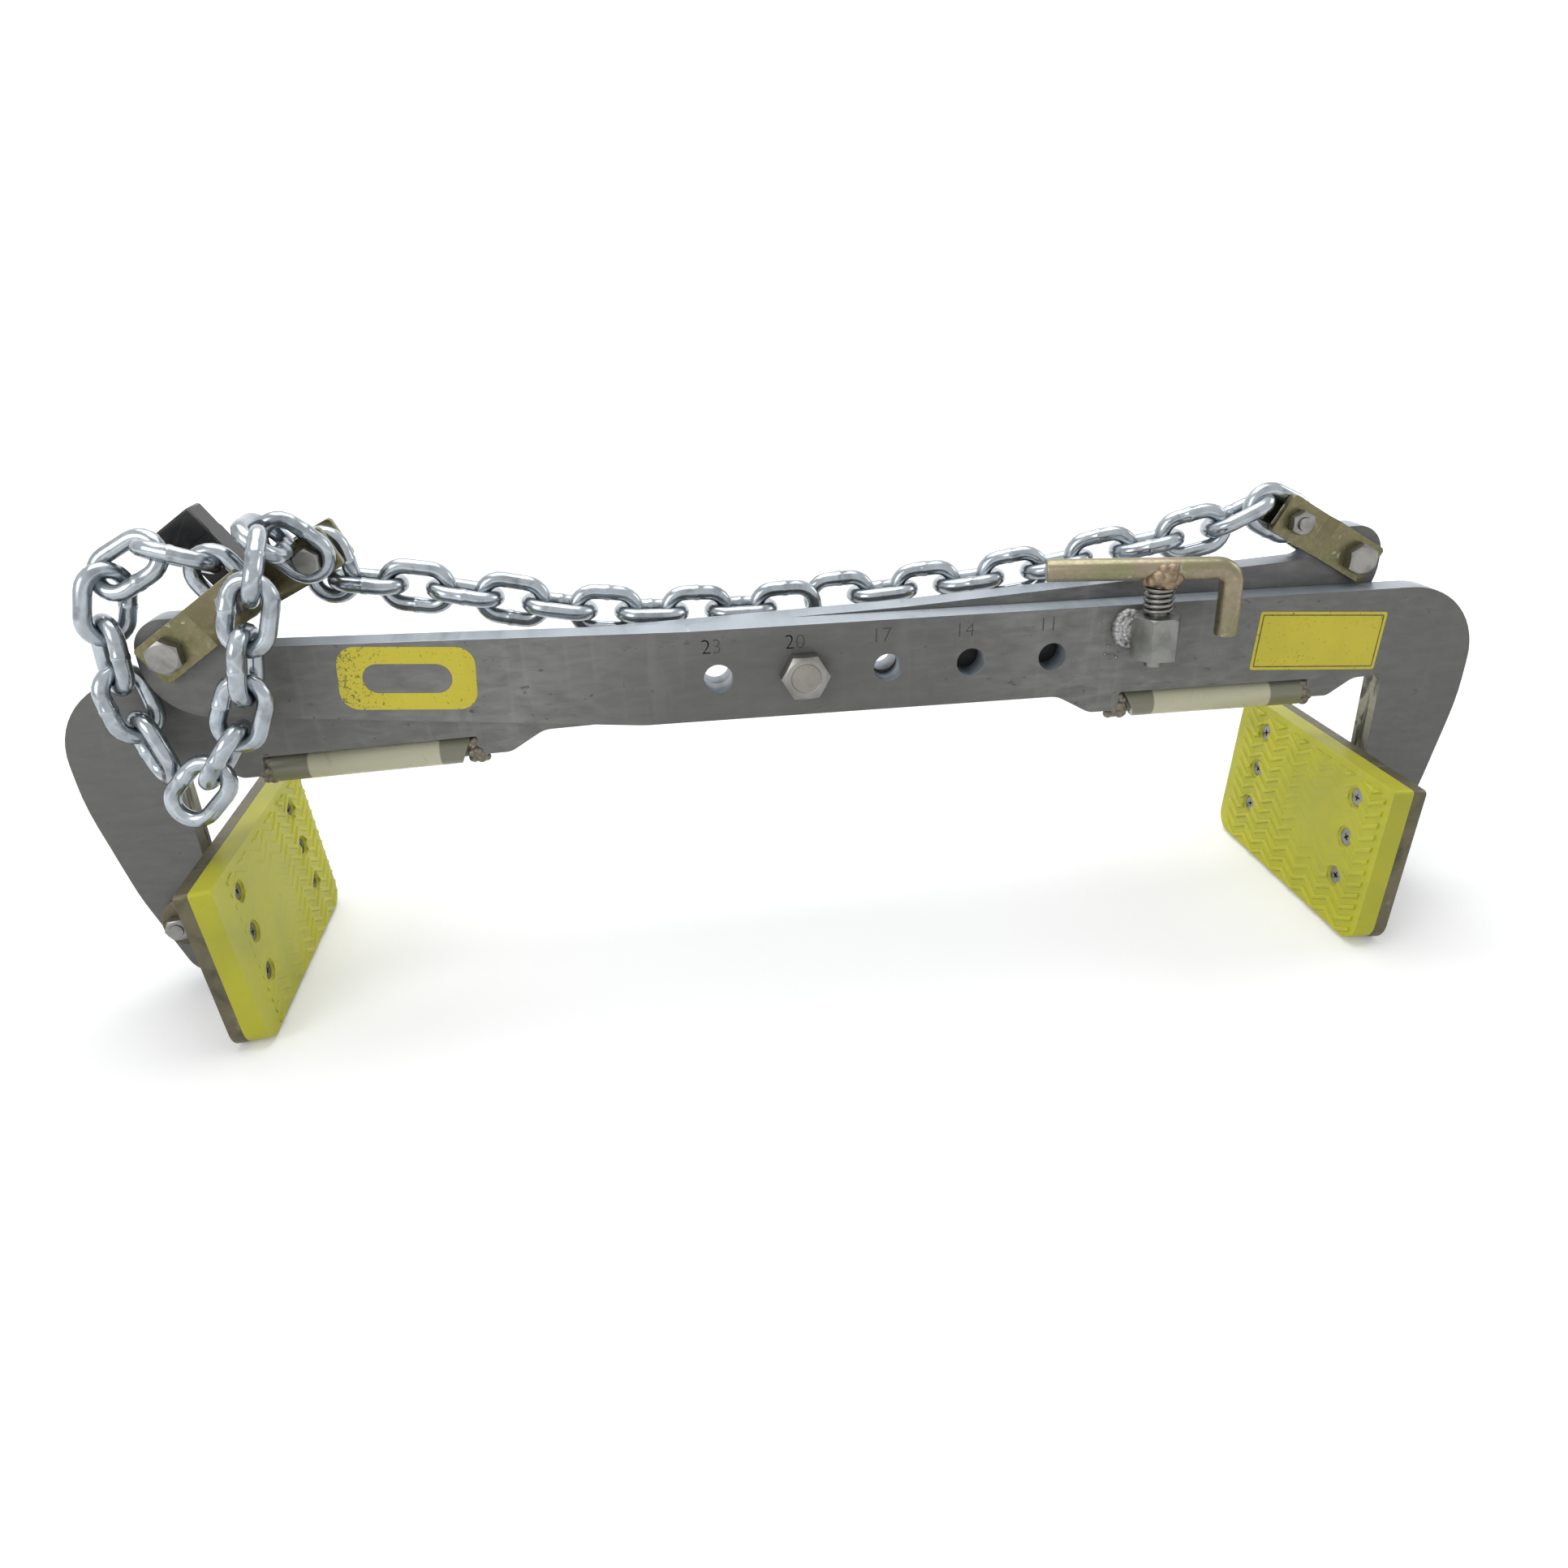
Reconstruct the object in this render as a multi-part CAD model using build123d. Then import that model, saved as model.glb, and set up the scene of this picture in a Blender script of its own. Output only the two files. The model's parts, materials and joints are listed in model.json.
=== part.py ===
from build123d import *
import math
import os

os.makedirs("parts", exist_ok=True)

# Millimetres. X runs along the arms, Y from front to back, Z up. The floor is z = 0.
# Each arm is drawn in its own frame (u along the bar, v up) from the scissor pivot,
# and the rear arm is the front arm turned half a turn about Z.

# Arm plates
PLATE = 12.7
PLATE_GAP = 0.4
ARM_LEAN = 0.88
BAR_TOP = 22.3
BAR_BOTTOM = -19.6
TAPER_U = -72.0
TAPER_R = 60.0
CROWN_U = -50.0
CROWN_R = 200.0
BUMP_V = -28.6
BUMP_SLOPE = 16.0
BUMP_LEFT = 14.0
BUMP_RIGHT = 10.0
BUMP_ROUND = 12.0
BUMP_TOE_R = 9.0
BUMP_HEEL_R = 5.0
BUMP_EDGE_R = 2.0
BUMP_ROOT_R = 1.0
NOTCH_RISE = 12.0
NOTCH_DIP = 1.0
NOTCH_R = 8.0
HANDLE_LONG = 94.0
HANDLE_TO_LEG = 36.5
LEG_INNER_U = 278.5
LEG_W = 44.0
LEG_ROOT_R = 4.0
LEG_TIP_V = -126.0
LEG_TIP_IN_R = 8.0
LEG_TIP_OUT_R = 12.0
LEG_TIP_PAST_JAW = 1.0
LEG_KNEE = (1.5, 92.0)
LEG_SHIN = (11.5, 44.0)
LEG_BEND_R = 120.0
CORNER_R = 36.0

# Adjusting holes and the scissor pivot
HOLE_PITCH = 38.1
HOLES_BEFORE = 1
HOLES_AFTER = 3
PIVOT_D = 12.7
RUN_GAP = 0.08
PIVOT_AF = 19.05
PIVOT_HEAD = 8.0
PIVOT_NUT = 10.5
WASHER_R = 12.5
WASHER_T = 2.4
BOLT_END = 0.6
BODY_GAP = 0.3
THREAD_GAP = 0.05
CORNER_CUT = 0.7

# Eyes and shackles
EYE_U = -262.0
EYE_V = 27.2
EYE_R = 14.0
EYE_CORNER_R = 13.5
EYE_HEEL = 27.0
EYE_HEEL_R = 26.0
EYE_FLAT = 5.0
EYE_EDGE_R = 9.0
NECK_AHEAD = 8.0
NECK_RISE = 5.2
NECK_R = 10.0
ARM_BOLT_D = 8.0
ARM_BOLT_AF = 13.0
ARM_BOLT_HEAD = 5.3
ARM_BOLT_NUT = 6.5
CHAIN_BOLT_D = 6.0
CHAIN_BOLT_AF = 10.0
CHAIN_BOLT_HEAD = 4.0
CHAIN_BOLT_NUT = 5.0
STRAP_T = 4.0
STRAP_W = 18.5
STRAP_END = 9.5
STRAP_PITCH = 35.0
STRAP_BEND_AT = 18.55
STRAP_BEND_RUN = 5.0
STRAP_JOG = 2.8
STRAP_CORNER = 2.0
RIGHT_SHACKLE_TURN = -149.0
LEFT_SHACKLE_TURN = -33.3
LIFT_SHACKLE_TURN = -25.2
LIFT_SHACKLE_AT = (-237.0, 24.0, 46.0)
LIFT_STRAP_IN = 7.7

# Chain
WIRE = 7.0
WIRE_FACETS = 8
LINK_PITCH = 20.8
LINK_INNER = 21.0
LINK_GAUGE = 17.0
CROWN_STEPS = 4
DROP_LEAN = math.radians(10)

# Jaws
JAW_INTO_LEG = 16.5
JAW_OVER_TIP = 30.0
JAW_TILT = 5.0
JAW_BOLT_D = 6.0
JAW_BOLT_AF = 10.0
JAW_BOLT_HEAD = 4.0
JAW_BOLT_NUT = 5.0
PAD_W = 131.3
PAD_H = 78.8
PAD_TOP = 40.3
PAD_T = 9.5
BACKING_T = 6.0
BACKING_BACK = 29.0
PAD_CORNER = 10.0
PAD_TOP_CORNER = 2.0
EAR_T = 5.0
EAR_R = 9.0
EAR_NOSE = 3.6
EAR_NOSE_R = 9.0
EAR_TOP = 18.0
EAR_TOP_DROP = 7.0
EAR_TOP_R = 8.0
EAR_SHOULDER = -14.0
EAR_SHOULDER_R = 10.0
EAR_LOW = -14.0
EAR_LOW_RISE = 4.0
EAR_LOW_R = 6.0
EAR_SIDE_GAP = 0.4
SCREW_COLUMN = 41.0
SCREW_ROWS = (14.0, 34.5, 55.0)
SCREW_HEAD_R = 4.2
SCREW_R = 2.5
SCREW_SINK = 1.2

# Handles
ROD_D = 8.0
ROD_V = -27.0
HOSE_OD = 13.5
HOSE_BORE = 8.8
HOSE_END_GAP = 2.6
HOSE_SLIT = 1.6
HOSE_CUT = 24.0
BEAD_R = 5.8
BEAD_TOE = 0.6

# Latch
LATCH_X = 158.0
BOSS_AF = 19.4
BOSS_LOW = -2.0
BOSS_TOP = 17.5
BOSS_WELD_R = 5.5
BOSS_WELD_H = 13.0
BOSS_WELD_OUT = 2.0
BOSS_WELD_IN = 4.0
BOSS_WELD_EDGE = 2.2
LATCH_PIN_D = 8.0
LATCH_PIN_LOW = -6.0
LEVER_D = 10.0
LEVER_Z = 38.0
LEVER_LONG = 49.7
LEVER_SHORT = 30.0
LEVER_DROP = 8.0
LEVER_BEND = 7.0
LEVER_TURN = -13.0
LEVER_WELD_R = 6.8
LEVER_WELD_FOOT_R = 4.8
LEVER_WELD_DROP = 4.0
LEVER_WELD_TOP = 5.0
SPRING_OD = 13.3
SPRING_WIRE = 1.8
SPRING_TURNS = 4
SPRING_STEPS = 14
SPRING_FACETS = 6
SPRING_TOP = 29.0
SEAT_T = 1.2
SEAT_R = 7.0
CLIP_T = 0.9
CLIP_R = 5.6

# Lifting lug
LUG_TILT = -33.0
LUG_W = 16.0
LUG_T = 14.8
LUG_BELOW = 9.0
LUG_ABOVE = 28.0
LUG_FOOT_R = 7.2
LUG_HEAD_L = 22.0
LUG_HEAD_W = 15.0
LUG_HEAD_H = 13.0
LUG_HEAD_BACK = 3.0
LUG_HEAD_LAP = 1.0
LUG_EDGE = 1.0
CLIP_WIRE = 2.2
CLIP_HOLE_GAP = 0.1
CLIP_BEND_R = 2.5
CLIP_EDGE = 1.0
CLIP_RISE = 4.0
CLIP_PROUD = 4.0
CLIP_BEHIND = 2.0
CLIP_LEAN = 2.0
CLIP_DROP = 14.0

UP = (Align.CENTER, Align.CENTER, Align.MIN)
JAW_U = LEG_INNER_U + JAW_INTO_LEG
JAW_V = LEG_TIP_V + JAW_OVER_TIP
LEG_OUTER_U = LEG_INNER_U + LEG_W
HANDLE_END_U = LEG_INNER_U - HANDLE_TO_LEG
HANDLE_START_U = HANDLE_END_U - HANDLE_LONG
PLATE_MID = (PLATE + PLATE_GAP) / 2
FRONT_FACE = -(PLATE + PLATE_GAP / 2)
REAR_FACE = PLATE_GAP / 2
LEAN = math.radians(ARM_LEAN)
TILT = math.radians(JAW_TILT)


def arm_point(u, v):
    """World x and z of a point of the front arm, measured from the pivot."""
    x = u * math.cos(LEAN) + v * math.sin(LEAN)
    z = v * math.cos(LEAN) - u * math.sin(LEAN)
    return x, z


JAW_X, JAW_Z = arm_point(JAW_U, JAW_V)
PAD_FOOT = (PAD_H - PAD_TOP) * math.cos(TILT) - BACKING_BACK * math.sin(TILT)
PIVOT_HEIGHT = PAD_FOOT - JAW_Z
RAISE = Pos(0, 0, PIVOT_HEIGHT)
FRONT_ARM = RAISE * Rot(0, ARM_LEAN, 0)
REAR_ARM = RAISE * Rot(0, 0, 180) * Rot(0, ARM_LEAN, 0)
RIGHT_JAW = RAISE * Pos(JAW_X, -PLATE_MID, JAW_Z) * Rot(0, JAW_TILT, 0)
LEFT_JAW = RAISE * Rot(0, 0, 180) * Pos(JAW_X, -PLATE_MID, JAW_Z) * Rot(0, JAW_TILT, 0)


def save(name, *solids):
    """Write one node; a node of several like pieces keeps them as separate solids."""
    shape = solids[0] if len(solids) == 1 else Compound(children=list(solids))
    export_step(shape, f"parts/{name}.step")


def rounded(corners):
    """Flat face in local X, Y through (x, y, radius) corners."""
    rounds = []
    for i, (x, y, radius) in enumerate(corners):
        here = Vector(x, y)
        back = (Vector(*corners[i - 1][:2]) - here).normalized()
        ahead = (Vector(*corners[(i + 1) % len(corners)][:2]) - here).normalized()
        half = math.radians(back.get_angle(ahead)) / 2
        if radius == 0:
            rounds.append((here, here, here))
            continue
        reach = radius / math.tan(half)
        middle = (back + ahead).normalized()
        crown = here + middle * (radius / math.sin(half) - radius)
        rounds.append((here + back * reach, crown, here + ahead * reach))
    edges = []
    for i, (start, crown, end) in enumerate(rounds):
        if (end - start).length > 0:
            edges.append(ThreePointArc(start, crown, end))
        edges.append(Line(end, rounds[(i + 1) % len(rounds)][0]))
    return make_face(edges)


def slab(face, front, back):
    """Plate whose outline is drawn in X, Z, from y = front to y = back."""
    return Pos(0, back, 0) * extrude(Plane.XZ * face, back - front)


def rod(x, z, front, back, radius):
    """Round bar along Y."""
    bar = Cylinder(radius, back - front, align=UP)
    return Pos(x, back, z) * Rot(90, 0, 0) * bar


def bar_x(low, high, radius):
    """Round bar along X."""
    bar = Cylinder(radius, high - low, align=UP)
    return Pos(low, 0, 0) * Rot(0, 90, 0) * bar


def hexagon(across, height):
    """Hexagon along Z with the corners of its top face turned off."""
    corner = across / math.sqrt(3)
    body = extrude(RegularPolygon(corner, 6), height)
    turned = Cylinder(corner, height, align=UP)
    turned = chamfer(turned.edges().sort_by(Axis.Z)[-1], (corner - across / 2) * CORNER_CUT)
    return body & turned


def hexagon_y(x, z, seat, across, height, outward):
    """Hexagon along Y that stands on the plane y = seat; outward is -1 for the front."""
    return Pos(x, seat, z) * Rot(-90 * outward, 0, 0) * hexagon(across, height)


def bolt(x, z, head_seat, end, diameter, across, head):
    """Hex bolt along Y; its shank runs from the head's seat to y = end."""
    outward = -1 if end > head_seat else 1
    shank = rod(x, z, min(head_seat, end), max(head_seat, end), diameter / 2)
    return shank + hexagon_y(x, z, head_seat, across, head, outward)


def nut(x, z, seat, diameter, across, height, outward):
    """Hex nut along Y on the plane y = seat."""
    body = hexagon_y(x, z, seat, across, height, outward)
    return body - rod(x, z, seat - 2 * height, seat + 2 * height, diameter / 2 + THREAD_GAP)


def arm_outline():
    """Bar with a tapered eye end, two handle bumps and a leg."""
    eye_top = EYE_V + EYE_R
    eye_left = EYE_U - EYE_R
    eye_right = EYE_U + EYE_R
    bump_start = HANDLE_START_U - BUMP_LEFT
    bump_end = HANDLE_END_U + BUMP_RIGHT
    under_bar = [
        (eye_left, EYE_V - EYE_HEEL, EYE_HEEL_R),
        (TAPER_U, BAR_BOTTOM, TAPER_R),
        (bump_start - BUMP_SLOPE, BAR_BOTTOM, BUMP_ROUND),
        (bump_start, BUMP_V, BUMP_TOE_R),
        (HANDLE_START_U, BUMP_V, BUMP_EDGE_R),
        (HANDLE_START_U, BAR_BOTTOM, BUMP_ROOT_R),
        (HANDLE_END_U, BAR_BOTTOM, BUMP_ROOT_R),
        (HANDLE_END_U, BUMP_V, BUMP_EDGE_R),
        (bump_end, BUMP_V, BUMP_HEEL_R),
        (bump_end + NOTCH_RISE, BAR_BOTTOM - NOTCH_DIP, NOTCH_R),
    ]
    leg = [
        (LEG_INNER_U, BAR_BOTTOM, LEG_ROOT_R),
        (LEG_INNER_U, LEG_TIP_V, LEG_TIP_IN_R),
        (JAW_U + LEG_TIP_PAST_JAW, LEG_TIP_V, LEG_TIP_OUT_R),
        (LEG_OUTER_U - LEG_SHIN[0], LEG_TIP_V + LEG_SHIN[1], LEG_BEND_R),
        (LEG_OUTER_U - LEG_KNEE[0], LEG_TIP_V + LEG_KNEE[1], LEG_BEND_R),
        (LEG_OUTER_U, BAR_TOP, CORNER_R),
    ]
    over_bar = [
        (CROWN_U, BAR_TOP, CROWN_R),
        (eye_right + NECK_AHEAD, BAR_TOP + NECK_RISE, NECK_R),
        (eye_right - EYE_FLAT, eye_top, EYE_EDGE_R),
        (eye_left, eye_top, EYE_CORNER_R),
    ]
    return rounded(under_bar + leg + over_bar)


def arm_plate():
    """One arm in its own frame, front arm side."""
    plate = slab(arm_outline(), FRONT_FACE, -REAR_FACE)
    for i in range(-HOLES_BEFORE, HOLES_AFTER + 1):
        radius = PIVOT_D / 2 + RUN_GAP
        plate -= rod(i * HOLE_PITCH, 0, FRONT_FACE, -REAR_FACE, radius)
    plate -= rod(EYE_U, EYE_V, FRONT_FACE, -REAR_FACE, ARM_BOLT_D / 2 + THREAD_GAP)
    plate -= rod(JAW_U, JAW_V, FRONT_FACE, -REAR_FACE, JAW_BOLT_D / 2 + THREAD_GAP)
    return plate


def handle():
    """Rod, hose and weld beads under one arm, in the arm's frame."""
    place = Pos(0, -PLATE_MID, ROD_V)
    core = bar_x(HANDLE_START_U, HANDLE_END_U, ROD_D / 2)
    start = HANDLE_START_U + HOSE_END_GAP
    end = HANDLE_END_U - HOSE_END_GAP
    hose = bar_x(start, end, HOSE_OD / 2) - bar_x(start, end, HOSE_BORE / 2)
    hose -= Pos((start + end) / 2, 0, -HOSE_OD / 2) * Box(end - start, HOSE_SLIT, HOSE_OD)
    cutter = Box(HOSE_OD, 2 * HOSE_OD, 3 * HOSE_OD)
    hose -= Pos(start - HOSE_OD / 2, 0, HOSE_OD / 2) * Rot(0, -HOSE_CUT, 0) * cutter
    bead = Cone(BEAD_R, ROD_D / 2 + BEAD_TOE, HOSE_END_GAP - BODY_GAP, align=UP)
    left = Pos(HANDLE_START_U, 0, 0) * Rot(0, 90, 0) * bead - core
    right = Pos(HANDLE_END_U, 0, 0) * Rot(0, -90, 0) * bead - core
    return place * core, place * hose, [place * left, place * right]


def strap(side, wide, jog):
    """Shackle strap in the frame of its arm bolt; side is -1 in front, jog steps it inwards."""
    narrow = wide - jog
    bent = STRAP_BEND_AT + STRAP_BEND_RUN
    inner = [(-STRAP_END, wide), (STRAP_BEND_AT, wide), (bent, narrow),
             (STRAP_PITCH + STRAP_END, narrow)]
    outer = [(x, y + STRAP_T) for x, y in reversed(inner)]
    profile = make_face(Polyline([(x, side * y) for x, y in inner + outer], close=True))
    body = Pos(0, 0, -STRAP_W / 2) * extrude(profile, STRAP_W)
    low, high, half = -STRAP_END, STRAP_PITCH + STRAP_END, STRAP_W / 2
    outline = rounded([(low, -half, STRAP_CORNER), (high, -half, STRAP_CORNER),
                       (high, half, STRAP_CORNER), (low, half, STRAP_CORNER)])
    reach = wide + STRAP_T + 1
    body &= slab(outline, -reach, reach)
    body -= rod(0, 0, -reach, reach, ARM_BOLT_D / 2 + THREAD_GAP)
    body -= rod(STRAP_PITCH, 0, -reach, reach, CHAIN_BOLT_D / 2 + THREAD_GAP)
    return body


def shackle():
    """Two joggled straps; the arm bolt's head and the chain bolt's nut face front."""
    inside = PLATE / 2 + EAR_SIDE_GAP
    wide = inside + STRAP_T
    narrow = wide - STRAP_JOG
    arm_bolt = bolt(0, 0, -wide, wide + ARM_BOLT_NUT + BOLT_END, ARM_BOLT_D,
                    ARM_BOLT_AF, ARM_BOLT_HEAD)
    chain_bolt = bolt(STRAP_PITCH, 0, narrow, -narrow - CHAIN_BOLT_NUT - 2 * BOLT_END,
                      CHAIN_BOLT_D, CHAIN_BOLT_AF, CHAIN_BOLT_HEAD)
    arm_nut = nut(0, 0, wide, ARM_BOLT_D, ARM_BOLT_AF, ARM_BOLT_NUT, 1)
    chain_nut = nut(STRAP_PITCH, 0, -narrow, CHAIN_BOLT_D, CHAIN_BOLT_AF,
                    CHAIN_BOLT_NUT, -1)
    return {"front_strap": [strap(-1, inside, STRAP_JOG)],
            "back_strap": [strap(1, inside, STRAP_JOG)],
            "bolts": [arm_bolt, chain_bolt], "nuts": [arm_nut, chain_nut]}


def lifting_shackle():
    """Straight straps; the chain bolt also carries a link in front of the front strap."""
    wide = LIFT_STRAP_IN + STRAP_T
    head = wide + WIRE + 2 * BODY_GAP
    lug_bolt = bolt(0, 0, -wide, wide + ARM_BOLT_NUT + BOLT_END, ARM_BOLT_D,
                    ARM_BOLT_AF, ARM_BOLT_HEAD)
    chain_bolt = bolt(STRAP_PITCH, 0, -head, wide + CHAIN_BOLT_NUT + BOLT_END,
                      CHAIN_BOLT_D, CHAIN_BOLT_AF, CHAIN_BOLT_HEAD)
    lug_nut = nut(0, 0, wide, ARM_BOLT_D, ARM_BOLT_AF, ARM_BOLT_NUT, 1)
    chain_nut = nut(STRAP_PITCH, 0, wide, CHAIN_BOLT_D, CHAIN_BOLT_AF, CHAIN_BOLT_NUT, 1)
    return {"front_strap": [strap(-1, LIFT_STRAP_IN, 0)],
            "back_strap": [strap(1, LIFT_STRAP_IN, 0)],
            "bolts": [lug_bolt, chain_bolt], "nuts": [lug_nut, chain_nut]}


def chain_link():
    """One welded link, long along X and flat in X, Y, with a faceted wire."""
    section = RegularPolygon(WIRE / 2, WIRE_FACETS)
    crown_r = LINK_GAUGE / 2
    straight = LINK_INNER / 2 + WIRE / 2 - crown_r
    flank = Pos(0, crown_r, 0) * Rot(0, 90, 0) * extrude(section, straight, both=True)
    bend = 180 / CROWN_STEPS
    radius = crown_r / math.cos(math.radians(bend / 2))
    corners = [(straight, crown_r)]
    for i in range(CROWN_STEPS):
        angle = math.radians(90 - bend * (i + 0.5))
        corners.append((straight + radius * math.cos(angle), radius * math.sin(angle)))
    corners.append((straight, -crown_r))
    path = Polyline(*corners)
    start = Pos(straight, crown_r, 0) * Rot(0, 90, 0) * section
    crown = sweep(start, path=path, transition=Transition.RIGHT)
    return flank + mirror(flank, Plane.XZ) + crown + mirror(crown, Plane.YZ)


def spaced_joints(points, count):
    """Points where neighbouring links bear on each other, one link pitch apart."""
    curve = Spline(*points)
    steps = 1500
    joints = [curve @ 0]
    for i in range(steps + 1):
        here = curve @ (i / steps)
        if (here - joints[-1]).length >= LINK_PITCH and len(joints) <= count:
            joints.append(here)
    return joints


def run_of_links(points, count, face, twist=0.0, most=0.0):
    """Links along a route, each turned a quarter from the last, with a slow twist."""
    joints = spaced_joints(points, count)
    one = chain_link()
    links = []
    turned = 0.0
    for i in range(min(count, len(joints) - 1)):
        along = (joints[i + 1] - joints[i]).normalized()
        face = (face - along * face.dot(along)).normalized()
        seat = Plane((joints[i] + joints[i + 1]) * 0.5, x_dir=along, z_dir=face)
        links.append(RAISE * seat.location * one)
        step = twist if abs(turned) < most else 0.0
        turned += step
        face = face.rotate(Axis((0, 0, 0), along), 90 + step)
    return links


def pad_screw(place):
    """Countersunk screw and the hole it takes, at a place on the pad's face."""
    cone = Cone(SCREW_HEAD_R, SCREW_R, SCREW_HEAD_R - SCREW_R, align=UP)
    shank = Cylinder(SCREW_R, PAD_T + BACKING_T - SCREW_SINK, align=UP)
    mouth = SCREW_HEAD_R + RUN_GAP + SCREW_SINK
    bore = SCREW_R + RUN_GAP
    hole = Cone(mouth, bore, mouth - bore, align=UP) + Cylinder(bore, PAD_T + BACKING_T, align=UP)
    return place * Pos(0, 0, SCREW_SINK) * (cone + shank), place * hole


def jaw_bracket():
    """Clevis of two ears and a web, behind the backing plate."""
    wide = PLATE / 2 + EAR_SIDE_GAP
    outer = wide + EAR_T
    back = -BACKING_BACK
    ear = rounded([
        (back, EAR_LOW, 0),
        (EAR_NOSE, EAR_LOW + EAR_LOW_RISE, EAR_LOW_R),
        (EAR_R, 0, EAR_NOSE_R),
        (EAR_NOSE, EAR_TOP - EAR_TOP_DROP, EAR_TOP_R),
        (EAR_SHOULDER, EAR_TOP, EAR_SHOULDER_R),
        (back, EAR_TOP, 0),
    ])
    bracket = slab(ear, -outer, -wide) + slab(ear, wide, outer)
    web = Box(EAR_T, 2 * wide, EAR_TOP - EAR_LOW, align=(Align.MIN, Align.CENTER, Align.MIN))
    bracket += Pos(back, 0, EAR_LOW) * web
    return bracket - rod(0, 0, -outer, outer, JAW_BOLT_D / 2 + THREAD_GAP)


def jaw():
    """Backing plate, clevis, pad, screws, bolt and nut in the frame of the jaw's pivot."""
    half = PAD_W / 2
    low = PAD_TOP - PAD_H
    outline = Plane.YZ * rounded([
        (-half, low, PAD_CORNER),
        (half, low, PAD_CORNER),
        (half, PAD_TOP, PAD_TOP_CORNER),
        (-half, PAD_TOP, PAD_TOP_CORNER),
    ])
    seam = -BACKING_BACK - BACKING_T
    face = seam - PAD_T
    backing = Pos(seam, 0, 0) * extrude(outline, BACKING_T)
    pad = Pos(face, 0, 0) * extrude(outline, PAD_T)
    screws = []
    for side in (-1, 1):
        for row in SCREW_ROWS:
            place = Pos(face, side * SCREW_COLUMN, PAD_TOP - row) * Rot(0, 90, 0)
            screw, hole = pad_screw(place)
            pad -= hole
            backing -= hole
            screws.append(screw)
    outer = PLATE / 2 + EAR_SIDE_GAP + EAR_T
    pin = bolt(0, 0, -outer, outer + JAW_BOLT_NUT + BOLT_END, JAW_BOLT_D, JAW_BOLT_AF,
               JAW_BOLT_HEAD)
    lock = nut(0, 0, outer, JAW_BOLT_D, JAW_BOLT_AF, JAW_BOLT_NUT, 1)
    return {"backing_plate": [backing], "clevis": [jaw_bracket()], "pad": [pad],
            "screws": screws, "pivot_bolt": [pin], "pivot_nut": [lock]}


def latch_lever():
    """Bent round bar, long arm to the left."""
    route = FilletPolyline((-LEVER_LONG, 0, LEVER_Z), (LEVER_SHORT, 0, LEVER_Z),
                           (LEVER_SHORT, 0, LEVER_DROP), radius=LEVER_BEND)
    section = Plane((-LEVER_LONG, 0, LEVER_Z), z_dir=(1, 0, 0)) * Circle(LEVER_D / 2)
    return Rot(0, 0, LEVER_TURN) * sweep(section, path=route)


def latch_spring():
    """Wire spring between the boss and the washer, with a faceted wire and coil."""
    seat = BOSS_TOP + SPRING_WIRE / 2 + THREAD_GAP
    room = SPRING_TOP - BOSS_TOP - SPRING_WIRE - 2 * THREAD_GAP
    helix = Helix(room / SPRING_TURNS, room, (SPRING_OD - SPRING_WIRE) / 2)
    steps = SPRING_TURNS * SPRING_STEPS
    coil = Polyline(*[helix @ (i / steps) for i in range(steps + 1)])
    wire = Plane(coil @ 0, z_dir=coil % 0) * RegularPolygon(SPRING_WIRE / 2, SPRING_FACETS)
    return Pos(0, 0, seat) * sweep(wire, path=coil, transition=Transition.RIGHT)


def latch():
    """Spring latch on the front arm: boss, pin, lever, spring and small parts."""
    boss = Pos(0, 0, BOSS_LOW) * hexagon(BOSS_AF, BOSS_TOP - BOSS_LOW)
    bead = Cylinder(BOSS_WELD_R, BOSS_WELD_H)
    bead = chamfer(bead.edges().filter_by(GeomType.CIRCLE), BOSS_WELD_EDGE)
    bead = Pos(-BOSS_AF / 2 - BOSS_WELD_OUT, BOSS_AF / 2 - BOSS_WELD_IN, BOSS_TOP - BOSS_AF / 2) * bead
    bead &= Pos(0, -BOSS_AF / 2, 0) * Box(4 * BOSS_AF, 2 * BOSS_AF, 4 * BOSS_AF)
    bead -= boss
    bore = Cylinder(LATCH_PIN_D / 2 + THREAD_GAP, BOSS_TOP - BOSS_LOW, align=UP)
    boss -= Pos(0, 0, BOSS_LOW) * bore
    shaft = Pos(0, 0, LATCH_PIN_LOW) * Cylinder(LATCH_PIN_D / 2, LEVER_Z - LATCH_PIN_LOW, align=UP)
    lever = latch_lever()
    foot = SPRING_TOP + SEAT_T + BODY_GAP
    waist = LEVER_Z - LEVER_WELD_DROP
    weld = Pos(0, 0, foot) * Cone(LEVER_WELD_FOOT_R, LEVER_WELD_R, waist - foot, align=UP)
    weld += Pos(0, 0, waist) * Cone(LEVER_WELD_R, LEVER_WELD_FOOT_R, LEVER_WELD_TOP, align=UP)
    weld = (weld - lever - shaft).solids().sort_by(SortBy.VOLUME)[-1]
    washer = Cylinder(SEAT_R, SEAT_T, align=UP)
    washer -= Cylinder(LATCH_PIN_D / 2 + THREAD_GAP, SEAT_T, align=UP)
    ring = Cylinder(CLIP_R, CLIP_T, align=UP) - Cylinder(LATCH_PIN_D / 2, CLIP_T, align=UP)
    place = RAISE * Pos(LATCH_X, FRONT_FACE - BOSS_AF / 2, 0)
    return {"latch_boss": place * boss, "latch_boss_weld": place * bead,
            "latch_pin": place * (shaft - lever), "latch_lever": place * lever,
            "latch_lever_weld": place * weld, "latch_spring": place * latch_spring(),
            "latch_washer": place * Pos(0, 0, SPRING_TOP) * washer,
            "latch_pin_ring": place * Pos(0, 0, BOSS_LOW - BODY_GAP - CLIP_T) * ring}


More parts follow.
